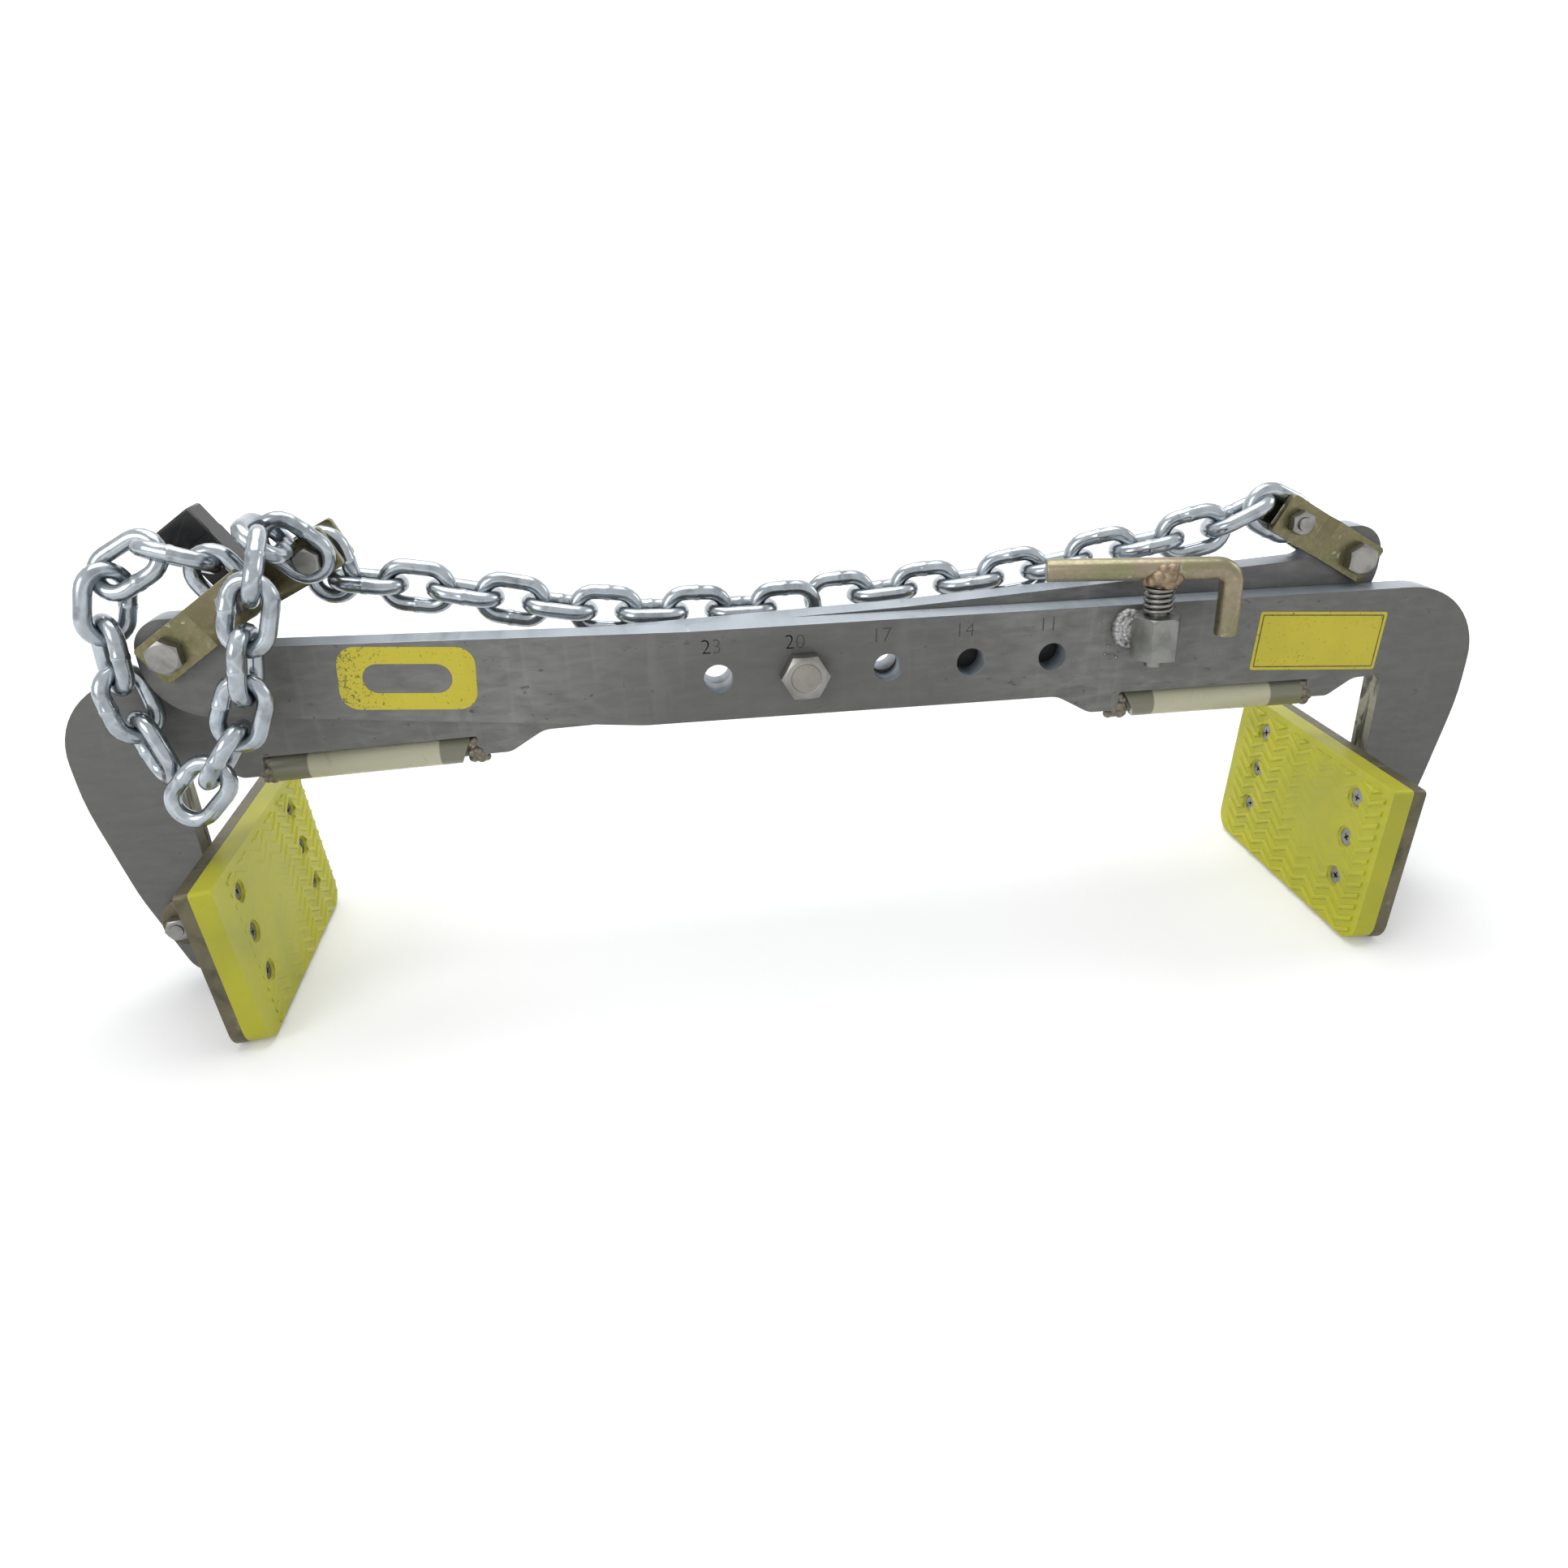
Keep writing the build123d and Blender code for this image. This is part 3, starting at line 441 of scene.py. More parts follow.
def stamped_finish(tone):
    """Darkened bottom of a stamped number; in the screws' cross recesses it is painted shade."""
    material, tree, shader = new_finish("stamped_mark", 0.2, 0.7)
    base = ramp(tree, noise(tree, 900, 3), (0.3, shade_of(tone, 0.8)), (0.8, shade_of(tone, 1.2)))
    paint(tree, shader, base)
    return material


def zinc_finish(name, tone, roughness, grain):
    """Bright plating with smudges and a little waviness."""
    material, tree, shader = new_finish(name, 0.92, roughness)
    cloud = noise(tree, 110, 4, distortion=0.5)
    base = ramp(tree, cloud, (0.28, shade_of(tone, 0.62)), (0.5, tone), (0.8, shade_of(tone, 1.25)))
    smudge = mask(tree, noise(tree, 260, 4, shift=(0.2, 0.1, 0)), 0.6, 0.75)
    base = blend(tree, smudge, 0.5, base, (0.16, 0.15, 0.14, 1.0))
    paint(tree, shader, base, span(tree, cloud, roughness * 0.6, roughness * 1.6))
    raised(tree, shader, noise(tree, grain, 3), 0.08 * MM, 0.5)
    return material


def yellow_zinc_finish(name, tone):
    """Yellow chromate: olive gold that drifts to brown and pale green."""
    material, tree, shader = new_finish(name, 0.8, 0.32)
    drift = noise(tree, 38, 3, distortion=0.6)
    green = (tone[0] * 0.82, tone[1] * 0.98, tone[2] * 0.75, 1.0)
    brown = (tone[0] * 0.95, tone[1] * 0.72, tone[2] * 0.8, 1.0)
    base = ramp(tree, drift, (0.3, green), (0.5, tone), (0.7, shade_of(tone, 1.2)), (0.85, brown))
    mottle = mask(tree, noise(tree, 480, 5), 0.35, 0.8)
    base = blend(tree, mottle, 0.35, base, shade_of(tone, 0.5))
    wear = mask(tree, noise(tree, 150, 5, distortion=1.0), 0.66, 0.74)
    base = blend(tree, wear, 0.6, base, (0.55, 0.54, 0.48, 1.0))
    paint(tree, shader, base, span(tree, mottle, 0.26, 0.5))
    raised(tree, shader, noise(tree, 700, 4), 0.05 * MM, 0.5)
    return material


def dull_zinc_finish(tone):
    """Brownish grey zinc with stains and light scratches."""
    material, tree, shader = new_finish("dull_zinc", 0.55, 0.46)
    cloud = noise(tree, 70, 6, distortion=0.8)
    base = ramp(tree, cloud, (0.25, shade_of(tone, 0.45)), (0.5, tone),
                (0.75, shade_of(tone, 1.35)))
    scratch = mask(tree, noise(tree, 60, 3, (1, 9, 1)), 0.63, 0.7)
    base = blend(tree, scratch, 0.4, base, (0.36, 0.34, 0.27, 1.0))
    paint(tree, shader, base, span(tree, cloud, 0.3, 0.62))
    raised(tree, shader, noise(tree, 500, 5), 0.1 * MM, 0.5)
    return material


def weld_finish(name, tone, metallic):
    """Rough bead with bright and dark grains."""
    material, tree, shader = new_finish(name, metallic, 0.42)
    grain = noise(tree, 520, 5, distortion=0.6)
    base = ramp(tree, grain, (0.28, shade_of(tone, 0.62)), (0.5, tone),
                (0.72, shade_of(tone, 1.3)))
    paint(tree, shader, base)
    raised(tree, shader, noise(tree, 1100, 4), 0.2 * MM, 0.7)
    return material


def black_steel_finish(tone):
    """Blackened steel, rubbed lighter in patches."""
    material, tree, shader = new_finish("black_steel", 0.3, 0.45)
    rubbed = mask(tree, noise(tree, 90, 5, distortion=1.0), 0.55, 0.9)
    base = mix(tree, rubbed, tone, (0.07, 0.066, 0.062, 1.0))
    paint(tree, shader, base, span(tree, rubbed, 0.36, 0.6))
    raised(tree, shader, noise(tree, 650, 4), 0.1 * MM, 0.6)
    return material


def hose_finish(tone, end_tone):
    """Milky plastic; both ends look darker where the beads show through."""
    material, tree, shader = new_finish("hose", 0.0, 0.34, Subsurface_Weight=0.12, Coat_Weight=0.25,
                                        Coat_Roughness=0.2)
    shader.inputs["Subsurface Radius"].default_value = (0.004, 0.004, 0.002)
    out = maths(tree, "ABSOLUTE", along_clamp(tree))
    from_middle = maths(tree, "ABSOLUTE", maths(tree, "SUBTRACT", out, HOSE_MIDDLE))
    band = mask(tree, from_middle, CLEAR_HOSE_HALF, CLEAR_HOSE_HALF + 0.7 * MM)
    streak = noise(tree, 40, 3, (0.3, 1, 1))
    base = mix(tree, span(tree, streak, 0.0, 0.7), shade_of(tone, 0.9), shade_of(tone, 1.1))
    # Dirt on the hose
    darkening = mask(tree, noise(tree, 150, 5, distortion=0.8), 0.6, 0.8)
    base = blend(tree, darkening, 0.35, base, shade_of(end_tone, 1.2))
    base = blend(tree, band, 0.9, base, end_tone)
    paint(tree, shader, base)
    raised(tree, shader, noise(tree, 120, 3, (0.4, 1, 1)), 0.2 * MM, 0.4)
    return material


def pad_finish(name, tone):
    """Slightly clear yellow polyurethane, greener where it is rubbed."""
    material, tree, shader = new_finish(name, 0.0, 0.3, Subsurface_Weight=0.15,
                                        Specular_IOR_Level=0.25)
    shader.inputs["Subsurface Radius"].default_value = (0.004, 0.004, 0.001)
    cloud = noise(tree, 22, 4, distortion=0.5)
    olive = (tone[0] * 0.86, tone[1] * 0.87, tone[2] * 1.1, 1.0)
    vivid = (tone[0] * 1.08, tone[1] * 1.06, tone[2] * 0.7, 1.0)
    base = ramp(tree, cloud, (0.3, olive), (0.5, tone), (0.72, vivid))
    grime = mask(tree, noise(tree, 200, 5, distortion=0.6), 0.62, 0.8)
    base = blend(tree, grime, 0.2, base, (0.2, 0.19, 0.06, 1.0))
    paint(tree, shader, base, span(tree, noise(tree, 90, 4), 0.3, 0.5))
    raised(tree, shader, noise(tree, 420, 3), 0.08 * MM, 0.4)
    return material


def label_finish(tone):
    """Yellow film, flaked and blackened towards the left end of the frame sticker."""
    material, tree, shader = new_finish("label_film", 0.0, 0.38)
    base = mix(tree, noise(tree, 60, 3), shade_of(tone, 0.9), shade_of(tone, 1.08))
    left = mask(tree, along_clamp(tree), -176 * MM, -200 * MM)
    more = maths(tree, "MULTIPLY", left, 0.13)
    flakes = maths(tree, "ADD", noise(tree, 900, 6, distortion=0.6), more)
    worn = mask(tree, flakes, 0.64, 0.7)
    base = blend(tree, worn, 0.85, base, (0.09, 0.08, 0.02, 1.0))
    paint(tree, shader, base)
    raised(tree, shader, noise(tree, 160, 4), 0.15 * MM, 0.4)
    return material


def label_line_finish():
    """Dark printed line on a sticker."""
    material, tree, shader = new_finish("label_line", 0.0, 0.45)
    base = ramp(tree, noise(tree, 500, 3), (0.3, (0.05, 0.045, 0.01, 1)),
                (0.75, (0.2, 0.18, 0.02, 1)))
    paint(tree, shader, base)
    return material


def floor_finish(tone):
    """Pale matt floor that fades to white away from the clamp and keeps its shadow."""
    material, tree, shader = new_finish("floor", 0.0, 0.9)
    base = mix(tree, noise(tree, 3, 2), shade_of(tone, 0.995), tone)
    paint(tree, shader, base)
    shader.inputs["Emission Color"].default_value = (1.0, 1.0, 1.0, 1.0)
    away = distance_out(tree, placed(tree))
    white = span(tree, mask(tree, away, 0.5, 1.3), 0.2, 1.0)
    glow = maths(tree, "MULTIPLY", sees_backdrop(tree), white)
    tree.links.new(glow, shader.inputs["Emission Strength"])
    return material


def make_finishes(tones):
    """All the materials, by the record's slot names where one matches."""
    return {
        "arm_steel": plate_face_finish("plate_face", tones.plate),
        "shaded_steel": plate_face_finish("plate_face_between_arms", tones.plate, shaded=True),
        "plate_edge": plate_edge_finish(tones.plate_edge),
        "flame_cut": flame_cut_finish(tones.flame_cut),
        "stamped": stamped_finish(tones.stamped),
        "bright_zinc": zinc_finish("bright_zinc", tones.bright_zinc, 0.3, 420),
        "head_face": zinc_finish("head_face", tones.head_face, 0.42, 420),
        "chain_zinc": zinc_finish("chain_zinc", tones.chain_zinc, 0.19, 260),
        "boss_zinc": zinc_finish("boss_zinc", tones.boss_zinc, 0.38, 300),
        "yellow_zinc": yellow_zinc_finish("yellow_zinc", tones.yellow_zinc),
        "lever_zinc": yellow_zinc_finish("lever_zinc", tones.lever_zinc),
        "dull_zinc": dull_zinc_finish(tones.dull_zinc),
        "weld_bead": weld_finish("weld_bead", tones.weld, 0.6),
        "burnt_weld": weld_finish("burnt_weld", tones.burnt_weld, 0.5),
        "copper_weld": weld_finish("copper_weld", tones.copper, 0.6),
        "black_steel": black_steel_finish(tones.black),
        "hose": hose_finish(tones.hose, tones.hose_end),
        "pad": pad_finish("pad", tones.pad),
        # The pads' top and sides take the darker yellow: painted shade
        "shaded_pad_side": pad_finish("shaded_pad_side", tones.shaded_pad_side),
        "label": label_finish(tones.label),
        "label_line": label_line_finish(),
        "floor": floor_finish(tones.floor),
    }


def finish_named(name):
    """A material made by the finishes operator."""
    return bpy.data.materials[bpy.context.scene[f"clamp_{name}"]]


def merged_copy(node):
    """A CAD node's mesh with its loose triangles merged into whole faces."""
    bm = bmesh.new()
    bm.from_mesh(NODES[node].data)
    bmesh.ops.remove_doubles(bm, verts=bm.verts, dist=0.002 * MM)
    bmesh.ops.dissolve_limit(bm, angle_limit=math.radians(0.5), verts=bm.verts, edges=bm.edges)
    bmesh.ops.recalc_face_normals(bm, faces=bm.faces)
    return bm


def edges_in(items):
    """The edges among what a mesh operator gives back."""
    return [item for item in items if isinstance(item, bmesh.types.BMEdge)]


def verts_in(items):
    """The vertices among what a mesh operator gives back."""
    return [item for item in items if isinstance(item, bmesh.types.BMVert)]


def smooth_all(bm):
    """Smooth shading on every face."""
    for face in bm.faces:
        face.smooth = True


def round_edges(bm, edges, width, segments=2):
    """Rounds the given edges."""
    bmesh.ops.bevel(bm, geom=edges, offset=width, offset_type="OFFSET", segments=segments,
                    profile=0.5, affect="EDGES", clamp_overlap=True, material=-1)


def bevel_rims(bm, width, segments=2):
    """Rounds every sharp edge."""
    sharp = [edge for edge in bm.edges
             if edge.is_manifold and edge.calc_face_angle(0.0) > SMOOTH_LIMIT]
    round_edges(bm, sharp, width, segments)


def shade(bm, largest=0.0003):
    """Smooth shading on curved and bevelled faces, flat on plane ones and above a size in m2."""
    bm.normal_update()
    for edge in bm.edges:
        edge.smooth = not edge.is_manifold or edge.calc_face_angle(0.0) < SMOOTH_LIMIT
    for face in bm.faces:
        bends = [edge.calc_face_angle(0.0) for edge in face.edges if edge.is_manifold]
        curved = any(0.01 < bend < SMOOTH_LIMIT for bend in bends)
        face.smooth = curved and face.calc_area() < largest


def clean(bm):
    """Merges doubled vertices and drops faces without area."""
    bmesh.ops.remove_doubles(bm, verts=bm.verts, dist=0.001 * MM)
    bmesh.ops.dissolve_degenerate(bm, dist=0.001 * MM, edges=bm.edges)


def new_object(name, bm, materials):
    """Object at the origin from a bmesh."""
    clean(bm)
    mesh = bpy.data.meshes.new(name)
    bm.to_mesh(mesh)
    bm.free()
    loaded = mesh.attributes.get("custom_normal")
    if loaded:
        mesh.attributes.remove(loaded)
    for material in materials:
        mesh.materials.append(finish_named(material))
    piece = bpy.data.objects.new(name, mesh)
    bpy.context.scene.collection.objects.link(piece)
    return piece


def settle(piece, body, slot, *replaced):
    """The piece rides on its body and stands for CAD nodes, which it hides. The slot is not used.
    """
    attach(piece, body)
    if replaced:
        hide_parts(*replaced)
    return piece


def body_under(node):
    """Name of the body that a CAD node belongs to."""
    return NODES[node]["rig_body"]


def bevelled(node, width, finish=None):
    """Bevelled copy of a CAD node, in the finish of its slot or another."""
    bm = merged_copy(node)
    bevel_rims(bm, width)
    shade(bm)
    piece = new_object(f"{node}_finished", bm, [finish or SLOTS[node]])
    return settle(piece, body_under(node), SLOTS[node], node)


def solid_of(piece):
    """Final mesh of an object with its modifiers, which are then cleared."""
    graph = bpy.context.evaluated_depsgraph_get()
    mesh = bpy.data.meshes.new_from_object(piece.evaluated_get(graph))
    piece.modifiers.clear()
    return mesh


def carve(piece, cutter, lining=None):
    """Cuts a closed solid out of a piece.

    The new faces take the lining, or the piece's first finish.
    """
    tool = new_object("cutter", cutter, [])
    tool.data.materials.append(finish_named(lining) if lining else piece.data.materials[0])
    cut = piece.modifiers.new("cut", "BOOLEAN")
    cut.object = tool
    cut.operation = "DIFFERENCE"
    cut.solver = "MANIFOLD"
    cut.material_mode = "TRANSFER"
    mesh = solid_of(piece)
    result = bmesh.new()
    result.from_mesh(mesh)
    clean(result)
    result.to_mesh(mesh)
    result.free()
    piece.data = mesh
    bpy.data.objects.remove(tool)


def plate_finish_index(face, side):
    """Which of a plate's finishes a face takes: face, edge, flame cut edge or shaded face."""
    if abs(face.normal.y) > 0.9:
        return 3 if side == "rear" and face.normal.y < 0 else 0
    reach = 6 * MM
    leg_edge = abs(abs(face.calc_center_median().x) - LEG_INNER_X) < reach
    return 2 if leg_edge and abs(face.normal.x) > 0.6 else 1


def lettering(text, height, depth):
    """Closed solid of a number in the X, Y plane, centred on the origin."""
    curve = bpy.data.curves.new("number", "FONT")
    curve.body = text
    curve.align_x = "CENTER"
    curve.align_y = "CENTER"
    curve.offset = -0.02
    curve.extrude = depth / height
    curve.resolution_u = 3
    source = bpy.data.objects.new("number", curve)
    bpy.context.scene.collection.objects.link(source)
    bm = bmesh.new()
    bm.from_mesh(solid_of(source))
    bpy.data.objects.remove(source)
    nearest = 0.0002  # as a share of the height, because the letters are one unit high here
    bmesh.ops.remove_doubles(bm, verts=bm.verts, dist=nearest)
    bmesh.ops.recalc_face_normals(bm, faces=bm.faces)
    bmesh.ops.scale(bm, verts=bm.verts, vec=(height, height, height))
    return bm


def on_front_arm(x, z, turn):
    """Matrix from a flat X, Y drawing to the front arm's face, in millimetres and degrees."""
    at = Vector((PIVOT.x + x * MM, PLATE_FRONT, PIVOT.z + z * MM))
    upright = Matrix.Rotation(math.radians(90), 4, "X")
    return Matrix.Translation(at) @ Matrix.Rotation(math.radians(turn), 4, "Y") @ upright


def merge_into(bm, other, place=None):
    """Adds one bmesh to another, placed by a matrix."""
    if place is not None:
        bmesh.ops.transform(other, matrix=place, verts=other.verts)
    mesh = bpy.data.meshes.new("part")
    other.to_mesh(mesh)
    other.free()
    bm.from_mesh(mesh)
    bpy.data.meshes.remove(mesh)


class CLAMP_OT_finishes(Operator):
    """Makes the clamp's materials"""
    bl_idname = "clamp.finishes"
    bl_label = "Finishes"

    def execute(self, context):
        for name, material in make_finishes(context.scene.clamp_finishes).items():
            context.scene[f"clamp_{name}"] = material.name
        return {"FINISHED"}


class CLAMP_OT_arm_plates(Operator):
    """Bevels both arm plates and stamps the hole numbers into the front one"""
    bl_idname = "clamp.arm_plates"
    bl_label = "Arm plates"

    def execute(self, context):
        finishes = ["arm_steel", "plate_edge", "flame_cut", "shaded_steel"]
        for side in ("front", "rear"):
            node = f"{side}_arm_plate"
            bm = merged_copy(node)
            bevel_rims(bm, context.scene.clamp_edges.plate)
            shade(bm)
            for face in bm.faces:
                face.material_index = plate_finish_index(face, side)
            bmesh.ops.triangulate(bm, faces=[face for face in bm.faces if len(face.verts) > 4])
            piece = new_object(f"{node}_finished", bm, finishes)
            if side == "front":
                carve(piece, self.numbers(context.scene.clamp_labels), "stamped")
            settle(piece, body_under(node), SLOTS[node], node)
        return {"FINISHED"}

    def numbers(self, sizes):
        """Solids of all the hole numbers, at their places on the front arm."""
        bm = bmesh.new()
        for text, x, z in HOLE_NUMBERS:
            number = lettering(text, sizes.stamp_high, sizes.stamp_deep)
            merge_into(bm, number, on_front_arm(x, z, NUMBERS_TURN))
        return bm


def add_turning_ring(bm, axis, y, outward, flat, reach):
    """Adds a ring that turns the corners of a hexagon down, outside a round flat."""
    spare = 0.5 * MM
    slope = math.tan(math.radians(30))
    outline = ((flat - spare / slope, y + outward * spare), (reach, y + outward * spare),
               (reach, y - outward * (reach - flat) * slope))
    verts = [bm.verts.new((axis.x + radius, level, axis.z)) for radius, level in outline]
    edges = [bm.edges.new((verts[i], verts[i - 1])) for i in range(3)]
    bmesh.ops.spin(bm, geom=edges, cent=(axis.x, 0, axis.z), axis=(0, 1, 0),
                   angle=2 * math.pi, steps=72, use_merge=True)


def corners_of(points):
    """Lowest and highest corner of the box round some points."""
    return [Vector([pick(point[i] for point in points) for i in range(3)]) for pick in (min, max)]


def turn_corners(piece):
    """Turns down the corners at each outer end of every hex head and nut of a piece."""
    source = bmesh.new()
    source.from_mesh(piece.data)
    rings = bmesh.new()
    for group in islands(source):
        points = [vert.co for vert in group]
        low, high = corners_of(points)
        axis = (low + high) / 2
        reach = [math.hypot(point.x - axis.x, point.z - axis.z) for point in points]
        corner = max(reach)
        for end, outward in ((low.y, -1), (high.y, 1)):
            rim = max(out for point, out in zip(points, reach) if abs(point.y - end) < 0.3 * MM)
            if rim > 0.85 * corner:
                across_flats = corner * math.cos(math.radians(30))
                add_turning_ring(rings, axis, end, outward, 0.92 * across_flats, 1.1 * corner)
    source.free()
    bmesh.ops.recalc_face_normals(rings, faces=rings.faces)
    carve(piece, rings)
    for polygon in piece.data.polygons:
        if abs(polygon.normal.y) > 0.8:
            polygon.use_smooth = False


def sink_dish(piece):
    """Sinks a shallow round dish into the front face of the pivot bolt's head."""
    low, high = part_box("pivot_bolt")
    radius = 0.36 * (high.z - low.z)
    deep = 0.5 * MM
    dish = bmesh.new()
    face_middle = Vector(((low.x + high.x) / 2, low.y, (low.z + high.z) / 2))
    place = Matrix.Translation(face_middle) @ Matrix.Rotation(math.radians(90), 4, "X")
    bmesh.ops.create_cone(dish, cap_ends=True, segments=64, radius1=radius - deep,
                          radius2=radius + deep, depth=2 * deep, matrix=place)
    carve(piece, dish, "head_face")


class CLAMP_OT_fasteners(Operator):
    """Bevels the bolts, nuts, washers, rings and pins and turns down their hex corners"""
    bl_idname = "clamp.fasteners"
    bl_label = "Bolts and nuts"

    def execute(self, context):
        words = ("bolt", "nut", "washer", "ring", "pin")
        for node in NODES:
            if any(word in node for word in words) and "spring" not in node:
                piece = bevelled(node, context.scene.clamp_edges.fastener)
                if "bolt" in node or "nut" in node:
                    turn_corners(piece)
                if node == "pivot_bolt":
                    sink_dish(piece)
        return {"FINISHED"}


class CLAMP_OT_shackles(Operator):
    """Bevels the shackle straps and the lifting lug"""
    bl_idname = "clamp.shackles"
    bl_label = "Shackles and lug"

    def execute(self, context):
        sizes = context.scene.clamp_edges
        for node in STRAP_NODES:
            bevelled(node, sizes.strap)
        bevelled("lifting_lug", sizes.lug)
        return {"FINISHED"}


def spin_ring(bm, ring, centre, steps):
    """Sweeps a ring of edges half a turn about an upright axis and returns the last ring."""
    swept = bmesh.ops.spin(bm, geom=ring, cent=centre, axis=(0, 0, -1), angle=math.pi,
                           steps=steps)
    return edges_in(swept["geom_last"])


def push_ring(bm, ring, move, about=None, swell=1.0):
    """Extrudes a ring of edges along a vector and swells it about a point."""
    grown = bmesh.ops.extrude_edge_only(bm, edges=ring)["geom"]
    verts = verts_in(grown)
    bmesh.ops.translate(bm, verts=verts, vec=move)
    if about is not None:
        bmesh.ops.scale(bm, verts=verts, vec=(1, swell, swell),
                        space=Matrix.Translation(-Vector(about)))
    return edges_in(grown)


def round_link(sizes):
    """One welded link, long along X and flat in X, Y, with a round wire."""
    bm = bmesh.new()
    crown = sizes.gauge / 2
    straight = sizes.inside / 2 + sizes.wire / 2 - crown
    bmesh.ops.create_circle(bm, segments=sizes.facets, radius=sizes.wire / 2)
    start = Matrix.Translation((straight, crown, 0)) @ Matrix.Rotation(math.pi / 2, 4, "Y")
    bmesh.ops.transform(bm, matrix=start, verts=bm.verts)
    bend_steps = 12
    ring = spin_ring(bm, bm.edges[:], (straight, 0, 0), bend_steps)
    ring = push_ring(bm, ring, (-2 * straight, 0, 0))
    ring = spin_ring(bm, ring, (-straight, 0, 0), bend_steps)
    swell = sizes.weld_swell
    lip = 0.5 * MM
    half = 1.4 * MM
    stops = ((straight - half, 1.0), (lip, swell), (2 * (half - lip), 1.0), (lip, 1 / swell),
             (straight - half, 1.0))
    x = -straight
    for step, factor in stops:
        x += step
        ring = push_ring(bm, ring, (step, 0, 0), (x, crown, 0), factor)
    bmesh.ops.remove_doubles(bm, verts=bm.verts, dist=0.02 * MM)
    bmesh.ops.recalc_face_normals(bm, faces=bm.faces)
    smooth_all(bm)
    return bm


def islands(bm):
    """Groups of joined vertices, in the mesh's own order."""
    found = set()
    for start in bm.verts:
        if start in found:
            continue
        found.add(start)
        group = [start]
        for vert in group:
            for edge in vert.link_edges:
                other = edge.other_vert(vert)
                if other not in found:
                    found.add(other)
                    group.append(other)
        yield group


def lie_of_link(group):
    """Matrix of one CAD link: its middle, with X along it and Z square to its plane."""
    points = np.array([vert.co for vert in group])
    middle = points.mean(axis=0)
    directions = np.linalg.eigh(np.cov((points - middle).T))[1]
    along, normal = Vector(directions[:, 2]), Vector(directions[:, 0])
    across = normal.cross(along)
    turn = Matrix((along, across, normal)).transposed().to_4x4()
    return Matrix.Translation(Vector(middle)) @ turn


class CLAMP_OT_chain(Operator):
    """Lays a round welded link on every link of the chain's solids"""
    bl_idname = "clamp.chain"
    bl_label = "Chain"

    def execute(self, context):
        sizes = context.scene.clamp_chain
        for node in CHAIN_NODES:
            solids = merged_copy(node)
            links = bmesh.new()
            for group in islands(solids):
                merge_into(links, round_link(sizes), lie_of_link(group))
            solids.free()
            piece = new_object(f"{node}_links", links, ["chain_zinc"])
            settle(piece, body_under(node), "chain_zinc", node)
        return {"FINISHED"}


def jaw_frame(side):
    """Matrix of a jaw: its origin at the jaw's pivot, X away from the load, tilted as it hangs."""
    turned = Matrix.Rotation(math.pi if side == "left" else 0.0, 4, "Z")
    hung = Matrix.Rotation(JAW_HANG, 4, "Y")
    return Matrix.Translation(JOINT_AT[f"{side}_jaw_tilt"]) @ turned @ hung


def pad_extent(side):
    """Lowest and highest corner of a pad, measured in its jaw's own frame."""
    inverse = jaw_frame(side).inverted()
    return corners_of([inverse @ vert.co for vert in NODES[f"{side}_jaw_pad"].data.vertices])


def zigzag_rib(bm, sizes, face_x, z, first, count):
    """One closed zigzag rib along Y that stands on the plane x = face_x, sunk in a little."""
    sunk = 0.3 * MM
    half_foot, half_crest = sizes.rib_foot / 2, sizes.rib_crest / 2
    outline = ((sunk, -half_foot), (0.0, -half_foot), (-sizes.rib_height, -half_crest),
               (-sizes.rib_height, half_crest), (0.0, half_foot), (sunk, half_foot))
    verts = [bm.verts.new((face_x + depth, first, z + lift)) for depth, lift in outline]
    face = bm.faces.new(verts)
    ring = face.edges[:]
    for i in range(count):
        rise = sizes.rise if i % 2 else -sizes.rise
        ring = push_ring(bm, ring, (0, sizes.zigzag / 2, rise))
    bmesh.ops.holes_fill(bm, edges=ring, sides=0)


def trim(bm, point, outward):
    """Cuts away what lies beyond a plane and closes the cut."""
    geometry = bm.verts[:] + bm.edges[:] + bm.faces[:]
    cut = bmesh.ops.bisect_plane(bm, geom=geometry, plane_co=point, plane_no=outward,
                                 clear_outer=True)
    bmesh.ops.holes_fill(bm, edges=edges_in(cut["geom_cut"]), sides=0)


def pad_ribs(sizes, low, high, near):
    """Zigzag tread of one pad, in the jaw's frame; near is the sign of its side in front."""
    bm = bmesh.new()
    half = high.y - sizes.far_margin
    corner_cut = 7 * MM
    start = -math.ceil(half / sizes.zigzag) * sizes.zigzag - 1.5 * MM
    count = int(2 * (half - start) / sizes.zigzag)
    z = low.z
    while z < high.z + sizes.rise:
        zigzag_rib(bm, sizes, low.x, z, start, count)
        z += sizes.rib_pitch
    bmesh.ops.recalc_face_normals(bm, faces=bm.faces)
    near_margin = sizes.margin if near < 0 else sizes.left_margin
    trim(bm, (0, near * (high.y - near_margin), 0), (0, near, 0))
    trim(bm, (0, -near * half, 0), (0, -near, 0))
    trim(bm, (0, 0, high.z - sizes.margin), (0, 0, 1))
    trim(bm, (0, 0, low.z + sizes.far_margin), (0, 0, -1))
    for side in (-1, 1):
        trim(bm, (0, side * (half - corner_cut), low.z), (0, side, -1))
    wear_ribs(bm, sizes, low, high, near)
    crest_x = low.x - 0.2 * sizes.rib_height
    crest = [edge for edge in bm.edges if all(vert.co.x < crest_x for vert in edge.verts)
             and abs(edge.verts[0].co.y - edge.verts[1].co.y) > 0.5 * MM]
    round_edges(bm, crest, bpy.context.scene.clamp_edges.rib)
    bmesh.ops.recalc_face_normals(bm, faces=bm.faces)
    return bm


